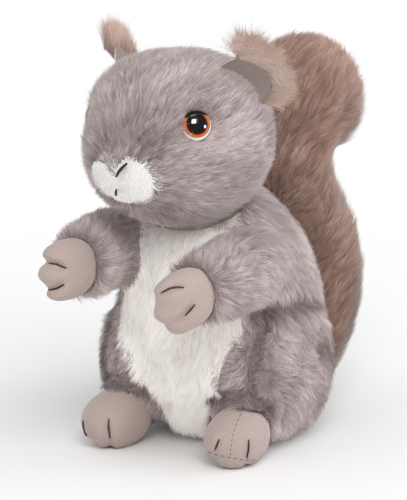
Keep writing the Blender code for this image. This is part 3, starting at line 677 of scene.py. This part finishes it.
grey_cloth = cloth_finish("grey pile backing", GREY_CLOTH)
white_cloth = cloth_finish("white pile backing", WHITE_CLOTH)
# The root value of each pile sets how dark its painted shade at the roots is.
grey_pile = pile_finish("grey pile", GREY_DARK, GREY_MID, GREY_LIGHT, root=0.38)
white_pile = pile_finish("white pile", WHITE_DARK, WHITE_MID, WHITE_LIGHT, root=0.78)

TORSO = ("body", "belly_panel", "arm_left", "arm_right", "leg_left", "leg_right")
JERSEY = ("hand_left", "hand_right", "foot_left", "foot_right")
DOWN = np.array([0, 0, -1.0])
SHOULDER_HEIGHT = 0.078
TORSO_INSET = 0.0024
TORSO_ROOTS = 150000
GREY_LENGTH = 0.0062
BELLY_LENGTH = 0.0074
CLEAR_OF_HEAD = 0.0015
CLEAR_OF_TAIL = 0.0012
CLEAR_OF_JERSEY = 0.0004
# How much darker the pile is painted along the folds, as shade in the creases.
FOLD_PAINTED_SHADE = -0.55
# How much paler the pile is painted towards the back, as light falling on it from behind.
BACK_PAINTED_LIGHT = 0.14
FOLDS = (
    ((258, 314), (275, 308), (295, 302), (324, 297)),
    ((268, 312), (266, 326), (262, 345), (257, 368), (254, 392)),
    ((214, 398), (235, 396), (254, 399), (272, 416)),
)

torso = tree_of(*TORSO)
folds = [fold_run(torso, points) for points in FOLDS]
torso_skin = sewn_skin(
    "torso_skin", TORSO, TORSO_INSET, grey_cloth, slot="grey_pile",
    patch="belly_panel", patch_cloth=white_cloth,
    eased=(("body", "arm_left", SHOULDER_HEIGHT), ("body", "arm_right", SHOULDER_HEIGHT)),
    snug=JERSEY, folds=folds,
)
roots, normals = roots_on(torso_skin, TORSO_ROOTS, seed=11)
region = nearest_node(roots, TORSO)
keep = (region >= 0) & (roots[:, 2] > 0.0012)
keep &= ~near_to(tree_of("head", "muzzle"), roots, CLEAR_OF_HEAD)
keep &= ~near_to(tree_of("tail"), roots, CLEAR_OF_TAIL)
keep &= ~near_to(tree_of(*JERSEY), roots, CLEAR_OF_JERSEY)
roots, normals, region = roots[keep], normals[keep], region[keep]
# Painted shade along the folds: the pile is darker where the cloth is pulled in, as shade in the crease.
painted_shade = [fold_share(Vector(root), Vector(normal), folds) for root, normal in zip(roots, normals)]
painted_shade = FOLD_PAINTED_SHADE * np.array(painted_shade)

for side, sign in (("left", 1), ("right", -1)):
    here = (region == TORSO.index("body")) & (roots[:, 0] * sign > 0)
    comb = DOWN + 0.3 * unit(roots[here] * np.array([1, 1, 0]))
    # Painted light: the pile is paler towards the back, as if lit from behind on the right.
    tone = 0.5 + painted_shade[here] + BACK_PAINTED_LIGHT * np.clip((roots[here, 1] - 0.008) / 0.02, 0, 1)
    grow_pile("body_pile_" + side, roots[here], normals[here], comb, GREY_LENGTH, grey_pile,
              tone=tone, seed=21, slot="grey_pile")

here = region == TORSO.index("belly_panel")
comb = np.tile(DOWN, (here.sum(), 1)) + 0.12 * unit(-roots[here] * np.array([1, 0, 0]))
grow_pile("belly_pile", roots[here], normals[here], comb, BELLY_LENGTH, white_pile,
          tone=0.60, seed=22, slot="white_pile", tufts=0.07, gather=0.5, ruffle=0.4)

# Arms
# Short tubes of the same cloth, open at the cuff, where the jersey hand is sewn in. Their pile runs
# from the cuff back to the shoulder.
ARM_LENGTH = 0.030
# The arms' pile carries the painted shade of the folds in its tone.
for side in ("left", "right"):
    here = region == TORSO.index("arm_" + side)
    from_cuff = roots[here] - middle_of("hand_" + side)
    shoulder = np.clip(np.linalg.norm(from_cuff, axis=1, keepdims=True) / ARM_LENGTH - 0.9, 0, 1)
    comb = unit(from_cuff) * (1 - shoulder) + DOWN * (0.3 + 0.7 * shoulder)
    grow_pile("arm_pile_" + side, roots[here], normals[here], comb, GREY_LENGTH, grey_pile,
              tone=0.5 + painted_shade[here], seed=41, slot="grey_pile", ruffle=0.35)

# Legs
# A round haunch with curly short pile behind a seam, and a narrow panel in front of it whose pile is
# brushed across towards the belly.
LEG_MIDDLE = (0.0278, 0.0075)
LEG_HALF = (0.0175, 0.037)
LEG_SEAM = math.radians(-48)
LEG_BACK = math.radians(135)
LEG_LENGTH = 0.0045
# The legs' pile carries the painted shade of the seam and folds in its tone.
for side, sign in (("left", 1), ("right", -1)):
    here = region == TORSO.index("leg_" + side)
    spots = roots[here]
    across = (spots[:, 0] * sign - LEG_MIDDLE[0]) / LEG_HALF[0]
    along = (spots[:, 1] - LEG_MIDDLE[1]) / LEG_HALF[1]
    around = np.arctan2(along, across)
    inner = (around < LEG_SEAM) | (around > LEG_BACK)
    front = np.array([-0.5 * sign, -0.8, -0.45])
    comb = np.where(inner[:, None], front, np.array([0, 0.25, -1.0]))
    comb = comb + 0.5 * drift(spots, 0.007, seed=54)
    grow_pile("leg_pile_" + side, spots, normals[here], comb, LEG_LENGTH, grey_pile,
              tone=0.43 + painted_shade[here], seed=51, slot="grey_pile",
              ruffle=0.85, gather=0.5, rise=(58, 20), curl=0.0008, tufts=0.2)

# Head and muzzle
# A ball of the same grey cloth with a white muzzle let in under the eyes. The pile is brushed away
# from the nose all round.
HEAD_INSET = 0.0026
HEAD_ROOTS = 60000
HEAD_LENGTH = 0.0060
VELVET_LENGTH = 0.0019
VELVET_WIDTH = 0.00032
CLEAR_OF_BODY = 0.0015
CLEAR_OF_EYES = 0.0010
MUZZLE_REACH = 0.0030
# Painted shade in a band round the muzzle, over the bridge of the nose:
BRIDGE_PAINTED_SHADE = 0.16
BRIDGE_FROM_NOSE = 0.014
BRIDGE_WIDTH = 0.007
VELVET_DARK = (0.90, 0.87, 0.83)
VELVET_MID = (0.97, 0.95, 0.92)
VELVET_LIGHT = (1.0, 0.99, 0.97)
VELVET_CLOTH = (0.92, 0.89, 0.85)
# root: the painted shade at the velvet's roots.
velvet = pile_finish("white velvet", VELVET_DARK, VELVET_MID, VELVET_LIGHT, root=0.86)
velvet_cloth = cloth_finish("white velvet backing", VELVET_CLOTH)
head_skin = sewn_skin(
    "head_skin", ("head", "muzzle"), HEAD_INSET, grey_cloth, slot="grey_pile",
    patch="muzzle", patch_cloth=velvet_cloth, snug=("muzzle",),
)
CHEEKS = ((-0.0140, 0.1190, 0.0075, 0.0068), (0.0014, 0.1204, 0.0080, 0.0078))
CHIN = (-0.0052, 0.1155, 0.0070, 0.0048)


def on_cheeks(places):
    """Whether a place is on the white muzzle: two round cheeks that meet over a small chin."""
    found = np.zeros(len(places), bool)
    for x, z, half_width, half_height in (*CHEEKS, CHIN):
        apart = ((places[:, 0] - x) / half_width) ** 2 + ((places[:, 2] - z) / half_height) ** 2
        found |= (apart < 1) & (places[:, 1] < -0.04)
    return found


head_middle = middle_of("head")
nose = middle_of("muzzle")
roots, normals = roots_on(head_skin, HEAD_ROOTS, seed=12)
keep = ~near_to(tree_of("body", "belly_panel", "ear_left", "ear_right"), roots, CLEAR_OF_BODY)
keep &= ~near_to(tree_of("eye_left", "eye_right"), roots, CLEAR_OF_EYES)
keep &= np.sum((roots - head_middle) * normals, axis=1) > 0
roots, normals = roots[keep], normals[keep]
on_muzzle = on_cheeks(roots) & near_to(tree_of("muzzle"), roots, MUZZLE_REACH)

here = ~on_muzzle
comb = unit(roots[here] - nose)
from_nose = np.linalg.norm(roots[here] - nose, axis=1)
# Painted shade: the grey pile is darker in a band about the nose, at the bridge and the cheeks.
painted_bridge_shade = -BRIDGE_PAINTED_SHADE * np.exp(-((from_nose - BRIDGE_FROM_NOSE) / BRIDGE_WIDTH) ** 2)
grow_pile("head_pile", roots[here], normals[here], comb, HEAD_LENGTH, grey_pile,
          tone=0.50 + painted_bridge_shade, seed=31, slot="grey_pile", tufts=0.16, gather=0.4)
here = on_muzzle
comb = np.tile(np.array([0, -0.2, -0.5]), (here.sum(), 1))
grow_pile("muzzle_pile", roots[here], normals[here], comb, VELVET_LENGTH, velvet,
          tone=0.6, seed=32, slot="white_pile", width=VELVET_WIDTH,
          gather=0.1, rise=(86, 66), ruffle=0.1, uneven=0.06, mix=0.04)

# Eyes
# Moulded plastic domes, printed from behind: a black pupil in an orange iris on white, under a
# black plastic lid. The stem goes through the cloth to its washer.
EYE_RADIUS = 0.00575
EYE_DOME = 0.0036
EYE_FROM_WASHER = 0.0051
FAR_EYE_DEEPER = 0.0013
EYE_STEPS = 48
EYE_ROWS = 14
IRIS_MIDDLE = (0.470, 0.560, 0)
EYE_RINGS = (
    (0.352, (0.004, 0.003, 0.003)),
    (0.368, (0.42, 0.075, 0.012)),
    (0.432, (0.70, 0.155, 0.022)),
    (0.460, (0.26, 0.04, 0.01)),
    (0.478, (0.85, 0.84, 0.82)),
)
LID_COLOUR = (0.006, 0.005, 0.005, 1)
LID_PROUD = 0.00045
LID_LOW = 0.66
LID_SLANT = 0.12


def axis_of(node, towards):
    """The middle of a flat round piece and the way that it faces, turned towards the given way."""
    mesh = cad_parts[node].data
    places = np.empty(len(mesh.vertices) * 3, np.float32)
    mesh.vertices.foreach_get("co", places)
    places = places.reshape(-1, 3).astype(float)
    middle = (places.min(0) + places.max(0)) / 2
    spread = np.linalg.svd(places - places.mean(0), full_matrices=False)[2][2]
    facing = Vector(spread)
    if facing.dot(Vector(towards)) < 0:
        facing.negate()
    return Vector(middle), facing


def dome(radius, height, rings, steps):
    """A shallow cap about +Z: rings of points from its top to its edge."""
    bm = bmesh.new()
    rim = []
    for k in range(rings + 1):
        slope = k / rings * math.pi / 2
        rim.append(bm.verts.new((radius * math.sin(slope), 0, height * math.cos(slope))))
    edges = [bm.edges.new(pair) for pair in zip(rim, rim[1:])]
    bmesh.ops.spin(
        bm, geom=rim + edges, cent=(0, 0, 0), axis=(0, 0, 1),
        angle=2 * math.pi, steps=steps, use_merge=True,
    )
    bmesh.ops.remove_doubles(bm, verts=bm.verts, dist=1e-7)
    bmesh.ops.recalc_face_normals(bm, faces=bm.faces)
    bm.normal_update()
    if sum(face.normal.z for face in bm.faces) < 0:
        bmesh.ops.reverse_faces(bm, faces=bm.faces)
    return bm


def eye_finish():
    """Pupil, iris and white by distance from the iris's middle on the eye's own map."""
    made, tree, shader = new_finish("printed eye", roughness=0.06, specular=0.16)
    face = tree.nodes.new("ShaderNodeUVMap")
    face.uv_map = "eye face"
    shift = tree.nodes.new("ShaderNodeVectorMath")
    shift.operation = "SUBTRACT"
    shift.inputs[1].default_value = IRIS_MIDDLE
    apart = tree.nodes.new("ShaderNodeVectorMath")
    apart.operation = "LENGTH"
    rings = tree.nodes.new("ShaderNodeValToRGB")
    ends = rings.color_ramp.elements
    for end, (edge, colour) in zip(ends, (EYE_RINGS[0], EYE_RINGS[-1])):
        end.position = edge
        end.color = (*colour, 1)
    for edge, colour in EYE_RINGS[1:-1]:
        ends.new(edge).color = (*colour, 1)
    tree.links.new(face.outputs["UV"], shift.inputs[0])
    tree.links.new(shift.outputs[0], apart.inputs[0])
    tree.links.new(apart.outputs["Value"], rings.inputs["Fac"])
    tree.links.new(rings.outputs["Color"], shader.inputs["Base Color"])
    return made


def dent(tree, shader, height, strength, distance):
    """Fine relief on a material, from a height over its surface."""
    bump = tree.nodes.new("ShaderNodeBump")
    bump.inputs["Strength"].default_value = strength
    bump.inputs["Distance"].default_value = distance
    tree.links.new(height, bump.inputs["Height"])
    tree.links.new(bump.outputs["Normal"], shader.inputs["Normal"])


def black_plastic():
    """Moulded black plastic with a very slight grain."""
    made, tree, shader = new_finish("black lid", roughness=0.28, specular=0.12)
    shader.inputs["Base Color"].default_value = LID_COLOUR
    place = tree.nodes.new("ShaderNodeTexCoord")
    grain = tree.nodes.new("ShaderNodeTexNoise")
    grain.inputs["Scale"].default_value = 2500
    tree.links.new(place.outputs["Object"], grain.inputs["Vector"])
    dent(tree, shader, grain.outputs["Fac"], strength=0.05, distance=0.0001)
    return made


printed_eye = eye_finish()
lid_plastic = black_plastic()
for side, sign in (("left", 1), ("right", -1)):
    washer_middle, facing = axis_of("eye_washer_" + side, (sign * 0.7, -0.7, 0.3))
    centre = washer_middle + facing * (EYE_FROM_WASHER - (FAR_EYE_DEEPER if sign < 0 else 0))
    across = Vector((0, 0, 1)).cross(facing).normalized()
    upward = facing.cross(across).normalized()

    bm = dome(EYE_RADIUS, EYE_DOME, EYE_ROWS, EYE_STEPS)
    lid = bm.copy()
    layer = bm.loops.layers.uv.new("eye face")
    for face in bm.faces:
        for loop in face.loops:
            flat = loop.vert.co / EYE_RADIUS / 2
            loop[layer].uv = (0.5 + flat.x * sign, 0.5 + flat.y)
    spare = []
    for face in lid.faces:
        middle = face.calc_center_median() / EYE_RADIUS
        if middle.y < LID_LOW + LID_SLANT * sign * middle.x:
            spare.append(face)
    bmesh.ops.delete(lid, geom=spare, context="FACES")
    for vert in lid.verts:
        vert.co += vert.co.normalized() * LID_PROUD
    bmesh.ops.solidify(lid, geom=lid.faces[:], thickness=LID_PROUD * 1.6)
    for name, shape, finish in (("eye_dome_", bm, printed_eye), ("eye_lid_", lid, lid_plastic)):
        for vert in shape.verts:
            vert.co = centre + across * vert.co.x + upward * vert.co.y + facing * vert.co.z
        belongs(add_shape(name + side, shape, finish), "eye", "eye_" + side)

# Ears
# A cup of ribbed taupe jersey, bound with cream tape along its rim, in front of a fan of the longest
# pile. Each ear is sewn into the head along the cup's straight edge.
EAR_FOOT = 0.006
CUP_HALF_WIDTH = 0.0112
CUP_HEIGHT = 0.0140
CUP_DEPTH = 0.0036
CUP_LIFT = 0.0030
CUP_WALL = 0.0008
CUP_COLUMNS = 40
FAR_EAR_TURN = math.radians(-38)
FAR_TUFT_SHIFT = np.array([-0.0040, 0, -0.0016])
CUP_ROWS = 10
TAPE_THICKNESS = 0.0007
TAPE_STEPS = 40
TUFT_ROOTS = 8000
TUFT_LENGTH = 0.0216
TUFT_WIDTH = 0.00026
TUFT_THICKNESS = 0.005
NEAR_TUFT_ENDS = (0.30, 0.45)
FAR_TUFT_ENDS = (0.26, 0.40)
FAR_TUFT_SHARE = 0.64
TUFT_DARK = (0.32, 0.18, 0.14)
TUFT_MID = (0.55, 0.345, 0.275)
TUFT_LIGHT = (0.86, 0.67, 0.57)
# root: the painted shade at the tuft's roots.
tuft_pile = pile_finish("tuft pile", TUFT_DARK, TUFT_MID, TUFT_LIGHT, root=0.42)
TAUPE = (0.36, 0.29, 0.26)
CREAM = (0.66, 0.58, 0.48)
taupe_cloth = cloth_finish("ear lining", TAUPE)
cream_tape = cloth_finish("cream tape", CREAM)


def new_path(name, radius):
    """An empty round cord or thread."""
    path = bpy.data.curves.new(name, "CURVE")
    path.dimensions = "3D"
    path.bevel_depth = radius
    path.bevel_resolution = 2
    return path


def add_line(path, places):
    """One length of a cord through some places, and its points."""
    line = path.splines.new("POLY")
    line.points.add(len(places) - 1)
    for point, place in zip(line.points, places):
        point.co = (*place, 1)
    return line.points


def ear_axes(side, sign):
    """The foot of an ear, the way of its straight edge, the way it faces, and away from the head."""
    middle, facing = axis_of("ear_lining_" + side, (0, -1, 0))
    if sign < 0:
        facing = Matrix.Rotation(FAR_EAR_TURN, 3, "Z") @ facing
    outward = middle - Vector(head_middle)
    outward = (outward - facing * outward.dot(facing)).normalized()
    along = facing.cross(outward).normalized()
    foot = middle - outward * EAR_FOOT + facing * CUP_DEPTH * 0.4
    return foot, along, facing, outward


def cup_place(axes, turn, out):
    """A place in the cup: turn goes between the ends of its straight edge, out from it to the rim."""
    foot, along, facing, outward = axes
    reach = math.hypot(math.cos(turn) * CUP_HALF_WIDTH, math.sin(turn) * CUP_HEIGHT)
    depth = -CUP_DEPTH * (1 - out ** 2)
    flat = Vector((math.cos(turn) * reach * out, depth, math.sin(turn) * reach * out))
    return foot + along * flat.x + facing * flat.y + outward * (flat.z + CUP_LIFT)


def ear_cup(name, axes):
    bm = bmesh.new()
    grid = []
    turns = [-0.25 + (math.pi + 0.5) * column / CUP_COLUMNS for column in range(CUP_COLUMNS + 1)]
    for row in range(CUP_ROWS + 1):
        out = row / CUP_ROWS * 0.98 + 0.02
        grid.append([bm.verts.new(cup_place(axes, turn, out)) for turn in turns])
    for below, above in zip(grid, grid[1:]):
        for k in range(CUP_COLUMNS):
            bm.faces.new((below[k], below[k + 1], above[k + 1], above[k]))
    bm.normal_update()
    if sum(face.normal.dot(axes[2]) for face in bm.faces) < 0:
        bmesh.ops.reverse_faces(bm, faces=bm.faces)
    bmesh.ops.solidify(bm, geom=bm.faces[:], thickness=CUP_WALL)
    return add_shape(name, bm, taupe_cloth)


def ear_tape(name, axes, sign):
    """Tape along the inner part of the cup's rim."""
    path = new_path(name, TAPE_THICKNESS / 2)
    turns = [math.pi * (0.5 - sign * (0.57 - 0.30 * k / TAPE_STEPS)) for k in range(TAPE_STEPS + 1)]
    add_line(path, [cup_place(axes, turn, 1.0) for turn in turns])
    return add_object(name, path, cream_tape)


def ear_tuft(name, axes, sign):
    """A fan of pile behind and past the rim, longest on its inner side. The far one stands upright."""
    near = sign > 0
    foot, along, facing, outward = (np.array(axis) for axis in axes)
    rng = np.random.default_rng(70)
    inner = rng.uniform(0, 1, TUFT_ROOTS) ** 0.8
    inner_end, outer_end = NEAR_TUFT_ENDS if near else FAR_TUFT_ENDS
    turn = math.pi * (0.5 - sign * (inner_end * inner - outer_end * (1 - inner)))
    out = np.sqrt(rng.uniform(0.94 if near else 0.3, 1.12, TUFT_ROOTS))
    reach = np.hypot(np.cos(turn) * CUP_HALF_WIDTH, np.sin(turn) * CUP_HEIGHT) * out
    back = -CUP_DEPTH * (1 - out ** 2) + CUP_WALL - rng.uniform(0, TUFT_THICKNESS, TUFT_ROOTS)
    fan = np.cos(turn)[:, None] * along + np.sin(turn)[:, None] * outward
    roots = foot + np.cos(turn)[:, None] * along * reach[:, None]
    roots = roots + facing * back[:, None] + outward * (np.sin(turn) * reach + CUP_LIFT)[:, None]
    normals = unit(0.5 * fan - facing * rng.uniform(0.1, 0.8, TUFT_ROOTS)[:, None] + 0.2 * outward)
    comb = unit(0.8 * fan + 0.8 * outward + np.array([0, 0, 0.15]))
    if not near:
        roots = roots + FAR_TUFT_SHIFT
        normals = unit(-facing + 0.25 * rng.normal(size=(TUFT_ROOTS, 3)))
        comb = unit(0.25 * fan + np.array([0.05, 0, 1.2]))
    length = TUFT_LENGTH * (0.55 + 0.45 * np.sqrt(inner)) * (1 if near else FAR_TUFT_SHARE)
    grow_pile(name, roots, normals, comb, length, tuft_pile, tone=0.5, seed=71, slot="tuft_pile",
              width=TUFT_WIDTH, rise=(18, 3), tufts=0.010, gather=0.55, steps=3, uneven=0.32, mix=0.16)


for side, sign in (("left", 1), ("right", -1)):
    axes = ear_axes(side, sign)
    belongs(ear_cup("ear_cup_" + side, axes), "lining", "ear_" + side, "ear_lining_" + side)
    belongs(ear_tape("ear_tape_" + side, axes, sign), "lining")
    ear_tuft("ear_tuft_" + side, axes, sign)

# Hands and feet
# Small padded mitts and boots of pale ribbed jersey, sewn from flat halves, with thick brown stitches
# that pull in the fingers and toes.
JERSEY_GROOVE = (0.33, 0.255, 0.232, 1)
JERSEY_RIB = (0.50, 0.395, 0.362, 1)
THREAD_DARK = (0.012, 0.007, 0.006, 1)
THREAD_LIGHT = (0.036, 0.023, 0.020, 1)
RIBS = 420
PLIES = 900
FUZZ = 1800
JERSEY_SWELL = 0.0005
JERSEY_VOXEL = 0.0008


def rib_group():
    """Slanting ribs, raised and paler than the grooves between them, whose darker colour is painted shade,
    with some fuzz over them.
    """
    group, given, result = new_group(
        "slanting ribs", ("Vector", "Place"), ("Float", "Scale"), ("Float", "Distortion"),
        ("Float", "Detail"), ("Float", "Fuzz"), ("Float", "Low"), ("Float", "High"),
        ("Color", "Deep"), ("Color", "Pale"),
    )
    group.interface.new_socket(name="Height", in_out="OUTPUT", socket_type="NodeSocketFloat")
    ribs = group.nodes.new("ShaderNodeTexWave")
    ribs.bands_direction = "DIAGONAL"
    ribs.inputs["Detail"].default_value = 2
    fuzz = group.nodes.new("ShaderNodeTexNoise")
    fuzz.inputs["Scale"].default_value = FUZZ
    both = group.nodes.new("ShaderNodeMix")
    rise = group.nodes.new("ShaderNodeMapRange")
    for label, socket in (
        ("Place", ribs.inputs["Vector"]), ("Place", fuzz.inputs["Vector"]),
        ("Scale", ribs.inputs["Scale"]), ("Distortion", ribs.inputs["Distortion"]),
        ("Detail", ribs.inputs["Detail Scale"]), ("Fuzz", both.inputs["Factor"]),
        ("Low", rise.inputs["From Min"]), ("High", rise.inputs["From Max"]),
    ):
        group.links.new(given.outputs[label], socket)
    group.links.new(ribs.outputs["Fac"], both.inputs["A"])
    group.links.new(fuzz.outputs["Fac"], both.inputs["B"])
    group.links.new(both.outputs["Result"], rise.inputs["Value"])
    colour = blend(group, rise.outputs["Result"], given.outputs["Deep"], given.outputs["Pale"])
    group.links.new(colour, result.inputs["Color"])
    group.links.new(both.outputs["Result"], result.inputs["Height"])
    return group


def ribbed_finish(name, roughness, specular, relief, depth, **values):
    """A material with slanting ribs, whose relief goes with their colour."""
    made, tree, shader = new_finish(name, roughness, specular)
    place = tree.nodes.new("ShaderNodeTexCoord")
    ribs = place_group(tree, slanting_ribs, **values)
    tree.links.new(place.outputs["Object"], ribs.inputs["Place"])
    tree.links.new(ribs.outputs["Color"], shader.inputs["Base Color"])
    dent(tree, shader, ribs.outputs["Height"], relief, depth)
    return made


slanting_ribs = rib_group()
jersey = ribbed_finish(
    "ribbed jersey", roughness=0.9, specular=0.12, relief=0.5, depth=0.0002, Scale=RIBS,
    Distortion=1.2, Detail=2, Fuzz=0.45, Low=0.1, High=0.7, Deep=JERSEY_GROOVE, Pale=JERSEY_RIB,
)
jersey.node_tree.nodes["Principled BSDF"].inputs["Sheen Weight"].default_value = 0.25
thread = ribbed_finish(
    "brown thread", roughness=0.7, specular=0.2, relief=0.4, depth=0.0001, Scale=PLIES,
    Distortion=0.6, Detail=1, Fuzz=0, Low=0, High=1, Deep=THREAD_DARK, Pale=THREAD_LIGHT,
)
# Each crease runs in from the edge of a mitt or boot, as picture points of the photograph, and the
# numbers after it are the share of its run where the thread starts and ends.
CREASES = {
    "hand_left": (
        (((156, 296), (161.5, 292.5), (170, 288), (176, 287), (185, 287.5)), 0.19, 0.97),
        (((180, 322), (185, 316), (190.5, 310), (196, 303)), 0.33, 0.93),
    ),
    "hand_right": (
        (((43, 261), (48, 263), (56, 264), (62, 266.5), (67, 268)), 0.25, 0.98),
        (((38, 286), (43, 289), (50, 290), (57, 288.5), (65, 284)), 0.2, 0.98),
    ),
    "foot_left": (
        (((214, 466), (215, 450), (219, 440), (228, 431)), 0.42, 0.70),
        (((246.5, 469), (247, 457), (248.5, 448), (248.5, 438)), 0.36, 0.95),
    ),
    "foot_right": (
        (((110, 453), (110, 437), (108.5, 427), (109, 417)), 0.42, 0.96),
        (((94, 452), (94, 444), (92, 436), (91, 429)), 0.3, 0.3),
    ),
}
SEAMS = {
    "foot_left": (
        ((241, 414), (235, 427), (232, 440), (230, 457)),
        ((208, 452), (217, 455), (230, 457.5), (243, 460), (262, 460)),
    ),
}
THREAD_RADIUS = 0.00040
SEAM_RADIUS = 0.00013
PINCH_WIDTH = 3.6
FINGER_PINCH = 0.0020
TOE_PINCH = 0.0012
STITCHES = {
    "hand_left": ("finger_stitch_left_1", "finger_stitch_left_2"),
    "hand_right": ("finger_stitch_right_1", "finger_stitch_right_2"),
    "foot_left": ("toe_stitch_left_2", "toe_stitch_left_1"),
    "foot_right": ("toe_stitch_right_1", "toe_stitch_right_2"),
}
CREASE_STEPS = 24


def pinched(bm, creases, depth):
    """Draws the cloth in along each crease, right through to the far side, as a pulled stitch does."""
    steps = CREASE_STEPS
    runs = [[along_run(points, k / steps) for k in range(steps + 1)] for points, _, _ in creases]

    def pulled_in(vert):
        here = in_picture(vert.co)
        pull = 0
        for run in runs:
            apart, number = min((math.dist(here, spot), k) for k, spot in enumerate(run))
            fade = min(1, (steps - number) / 8 + 0.25)
            pull = max(pull, math.exp(-(apart / PINCH_WIDTH) ** 2) * fade)
        return -pull * depth

    push_out(bm, pulled_in)
    bm.normal_update()


def sew(name, tree, spots, radius, slot, *nodes, dashes=0, over=None):
    """A thread that lies on a surface along picture points, whole or in dashes."""
    path = new_path(name, radius)
    path.use_fill_caps = True
    over = radius * 0.5 if over is None else over
    runs = np.array_split(np.linspace(0, 1, 60 if dashes else 16), max(dashes, 1))
    for run in runs:
        found = [spot_at(tree, *along_run(spots, share)) for share in (run[:-2] if dashes else run)]
        places = [place + normal * over for place, normal in found if place is not None]
        if len(places) < 2:
            continue
        for number, point in enumerate(add_line(path, places)):
            point.radius = 0.55 + 0.45 * math.sin(math.pi * (number + 0.6) / (len(places) + 0.2))
    belongs(add_object(name, path, thread), slot, *nodes)


for node in JERSEY:
    bm = rounded(node + "_jersey", cad_copy(node), JERSEY_VOXEL, 2)
    push_out(bm, lambda vert: JERSEY_SWELL)
    pinched(bm, CREASES[node], FINGER_PINCH if "hand" in node else TOE_PINCH)
    soften(bm, bm.verts, 2)
    for vert in bm.verts:
        vert.co.z = max(vert.co.z, 0.0)
    surface = BVHTree.FromBMesh(bm)
    mitt = add_shape(node + "_jersey", bm, jersey)
    belongs(mitt, "jersey", node)
    for number, (points, first, last) in enumerate(CREASES[node]):
        if last > first:
            spots = [along_run(points, first + (last - first) * k / 12) for k in range(13)]
            stitch = STITCHES[node][number]
            sew(stitch + "_thread", surface, spots, THREAD_RADIUS, "thread", stitch)
    for number, points in enumerate(SEAMS.get(node, ())):
        sew("%s_seam_%d" % (node, number + 1), surface, points, SEAM_RADIUS, "thread", dashes=9)
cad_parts["toe_stitch_right_2"].material_slots[0].material = thread

# Mouth and nose
# Two stitches of the same brown thread, pulled into the muzzle's pile: a long slanting one for the
# nose and a short one under it for the mouth.
NOSE_RADIUS = 0.00066
NOSE_LIFT = 0.0020
MOUTH_RADIUS = 0.00050
MOUTH_LIFT = 0.0018
NOSE_RUN = ((130, 163), (126.5, 166), (122.5, 170.5), (119.5, 175.5))
MOUTH_RUN = ((119.2, 187), (118.0, 190), (118.6, 193))
face_cloth = bmesh.new()
face_cloth.from_mesh(head_skin.data)
surface = BVHTree.FromBMesh(face_cloth)
face_cloth.free()
sew("nose_thread", surface, NOSE_RUN, NOSE_RADIUS, "thread", "nose_stitch", over=NOSE_LIFT)
sew("mouth_thread", surface, MOUTH_RUN, MOUTH_RADIUS, "thread", "mouth_stitch", over=MOUTH_LIFT)

# Washers
# Ribbed discs of milky plastic, pressed onto the eyes' stems inside the head.
WASHER_DEEP = (0.70, 0.70, 0.68)
WASHER_PALE = (0.82, 0.82, 0.80)
washer_plastic = grained_finish(
    "milky plastic", WASHER_DEEP, WASHER_PALE, scale=700, roughness=0.35, specular=0.5
)
for side in ("left", "right"):
    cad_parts["eye_washer_" + side].material_slots[0].material = washer_plastic

# Tail
# One long stuffed tube of brown pile, the longest on the plush, sewn to the back low down. It stands
# up behind in an S, and its pile is brushed towards the tip.
BROWN_DARK = (0.135, 0.070, 0.052)
BROWN_MID = (0.340, 0.200, 0.158)
BROWN_LIGHT = (0.60, 0.42, 0.345)
TAIL_INSET = 0.0028
TAIL_VOXEL = 0.002
TAIL_ROOTS = 55000
TAIL_LENGTH = 0.0074
CLEAR_OF_BACK = 0.0010
CURL_HEIGHT = 0.095
BROWN_CLOTH = (0.16, 0.10, 0.078)
brown_cloth = cloth_finish("brown pile backing", BROWN_CLOTH)
# root: the painted shade at the tail pile's roots.
brown_pile = pile_finish("brown pile", BROWN_DARK, BROWN_MID, BROWN_LIGHT, root=0.38)
tail_skin = sewn_skin(
    "tail_skin", ("tail",), TAIL_INSET, brown_cloth, slot="brown_pile", voxel=TAIL_VOXEL
)
roots, normals = roots_on(tail_skin, TAIL_ROOTS, seed=15)
keep = ~near_to(tree_of("body", "leg_left", "leg_right"), roots, CLEAR_OF_BACK)
keep &= roots[:, 2] > 0.0015
roots, normals = roots[keep], normals[keep]
# Painted shade: the pile is darker towards the bottom of the tail.
tone = 0.5 - 0.2 * np.clip((0.10 - roots[:, 2]) / 0.07, 0, 1)
upper = np.clip((roots[:, 2:3] - CURL_HEIGHT) / 0.02, 0, 1)
comb = np.array([0, 0.35, 1.0]) * (1 - upper) + np.array([0.15, 0.8, 0.65]) * upper
grow_pile("tail_pile", roots, normals, comb, TAIL_LENGTH, brown_pile,
          tone=tone, seed=61, slot="brown_pile", tufts=0.11, gather=0.5, ruffle=0.35)
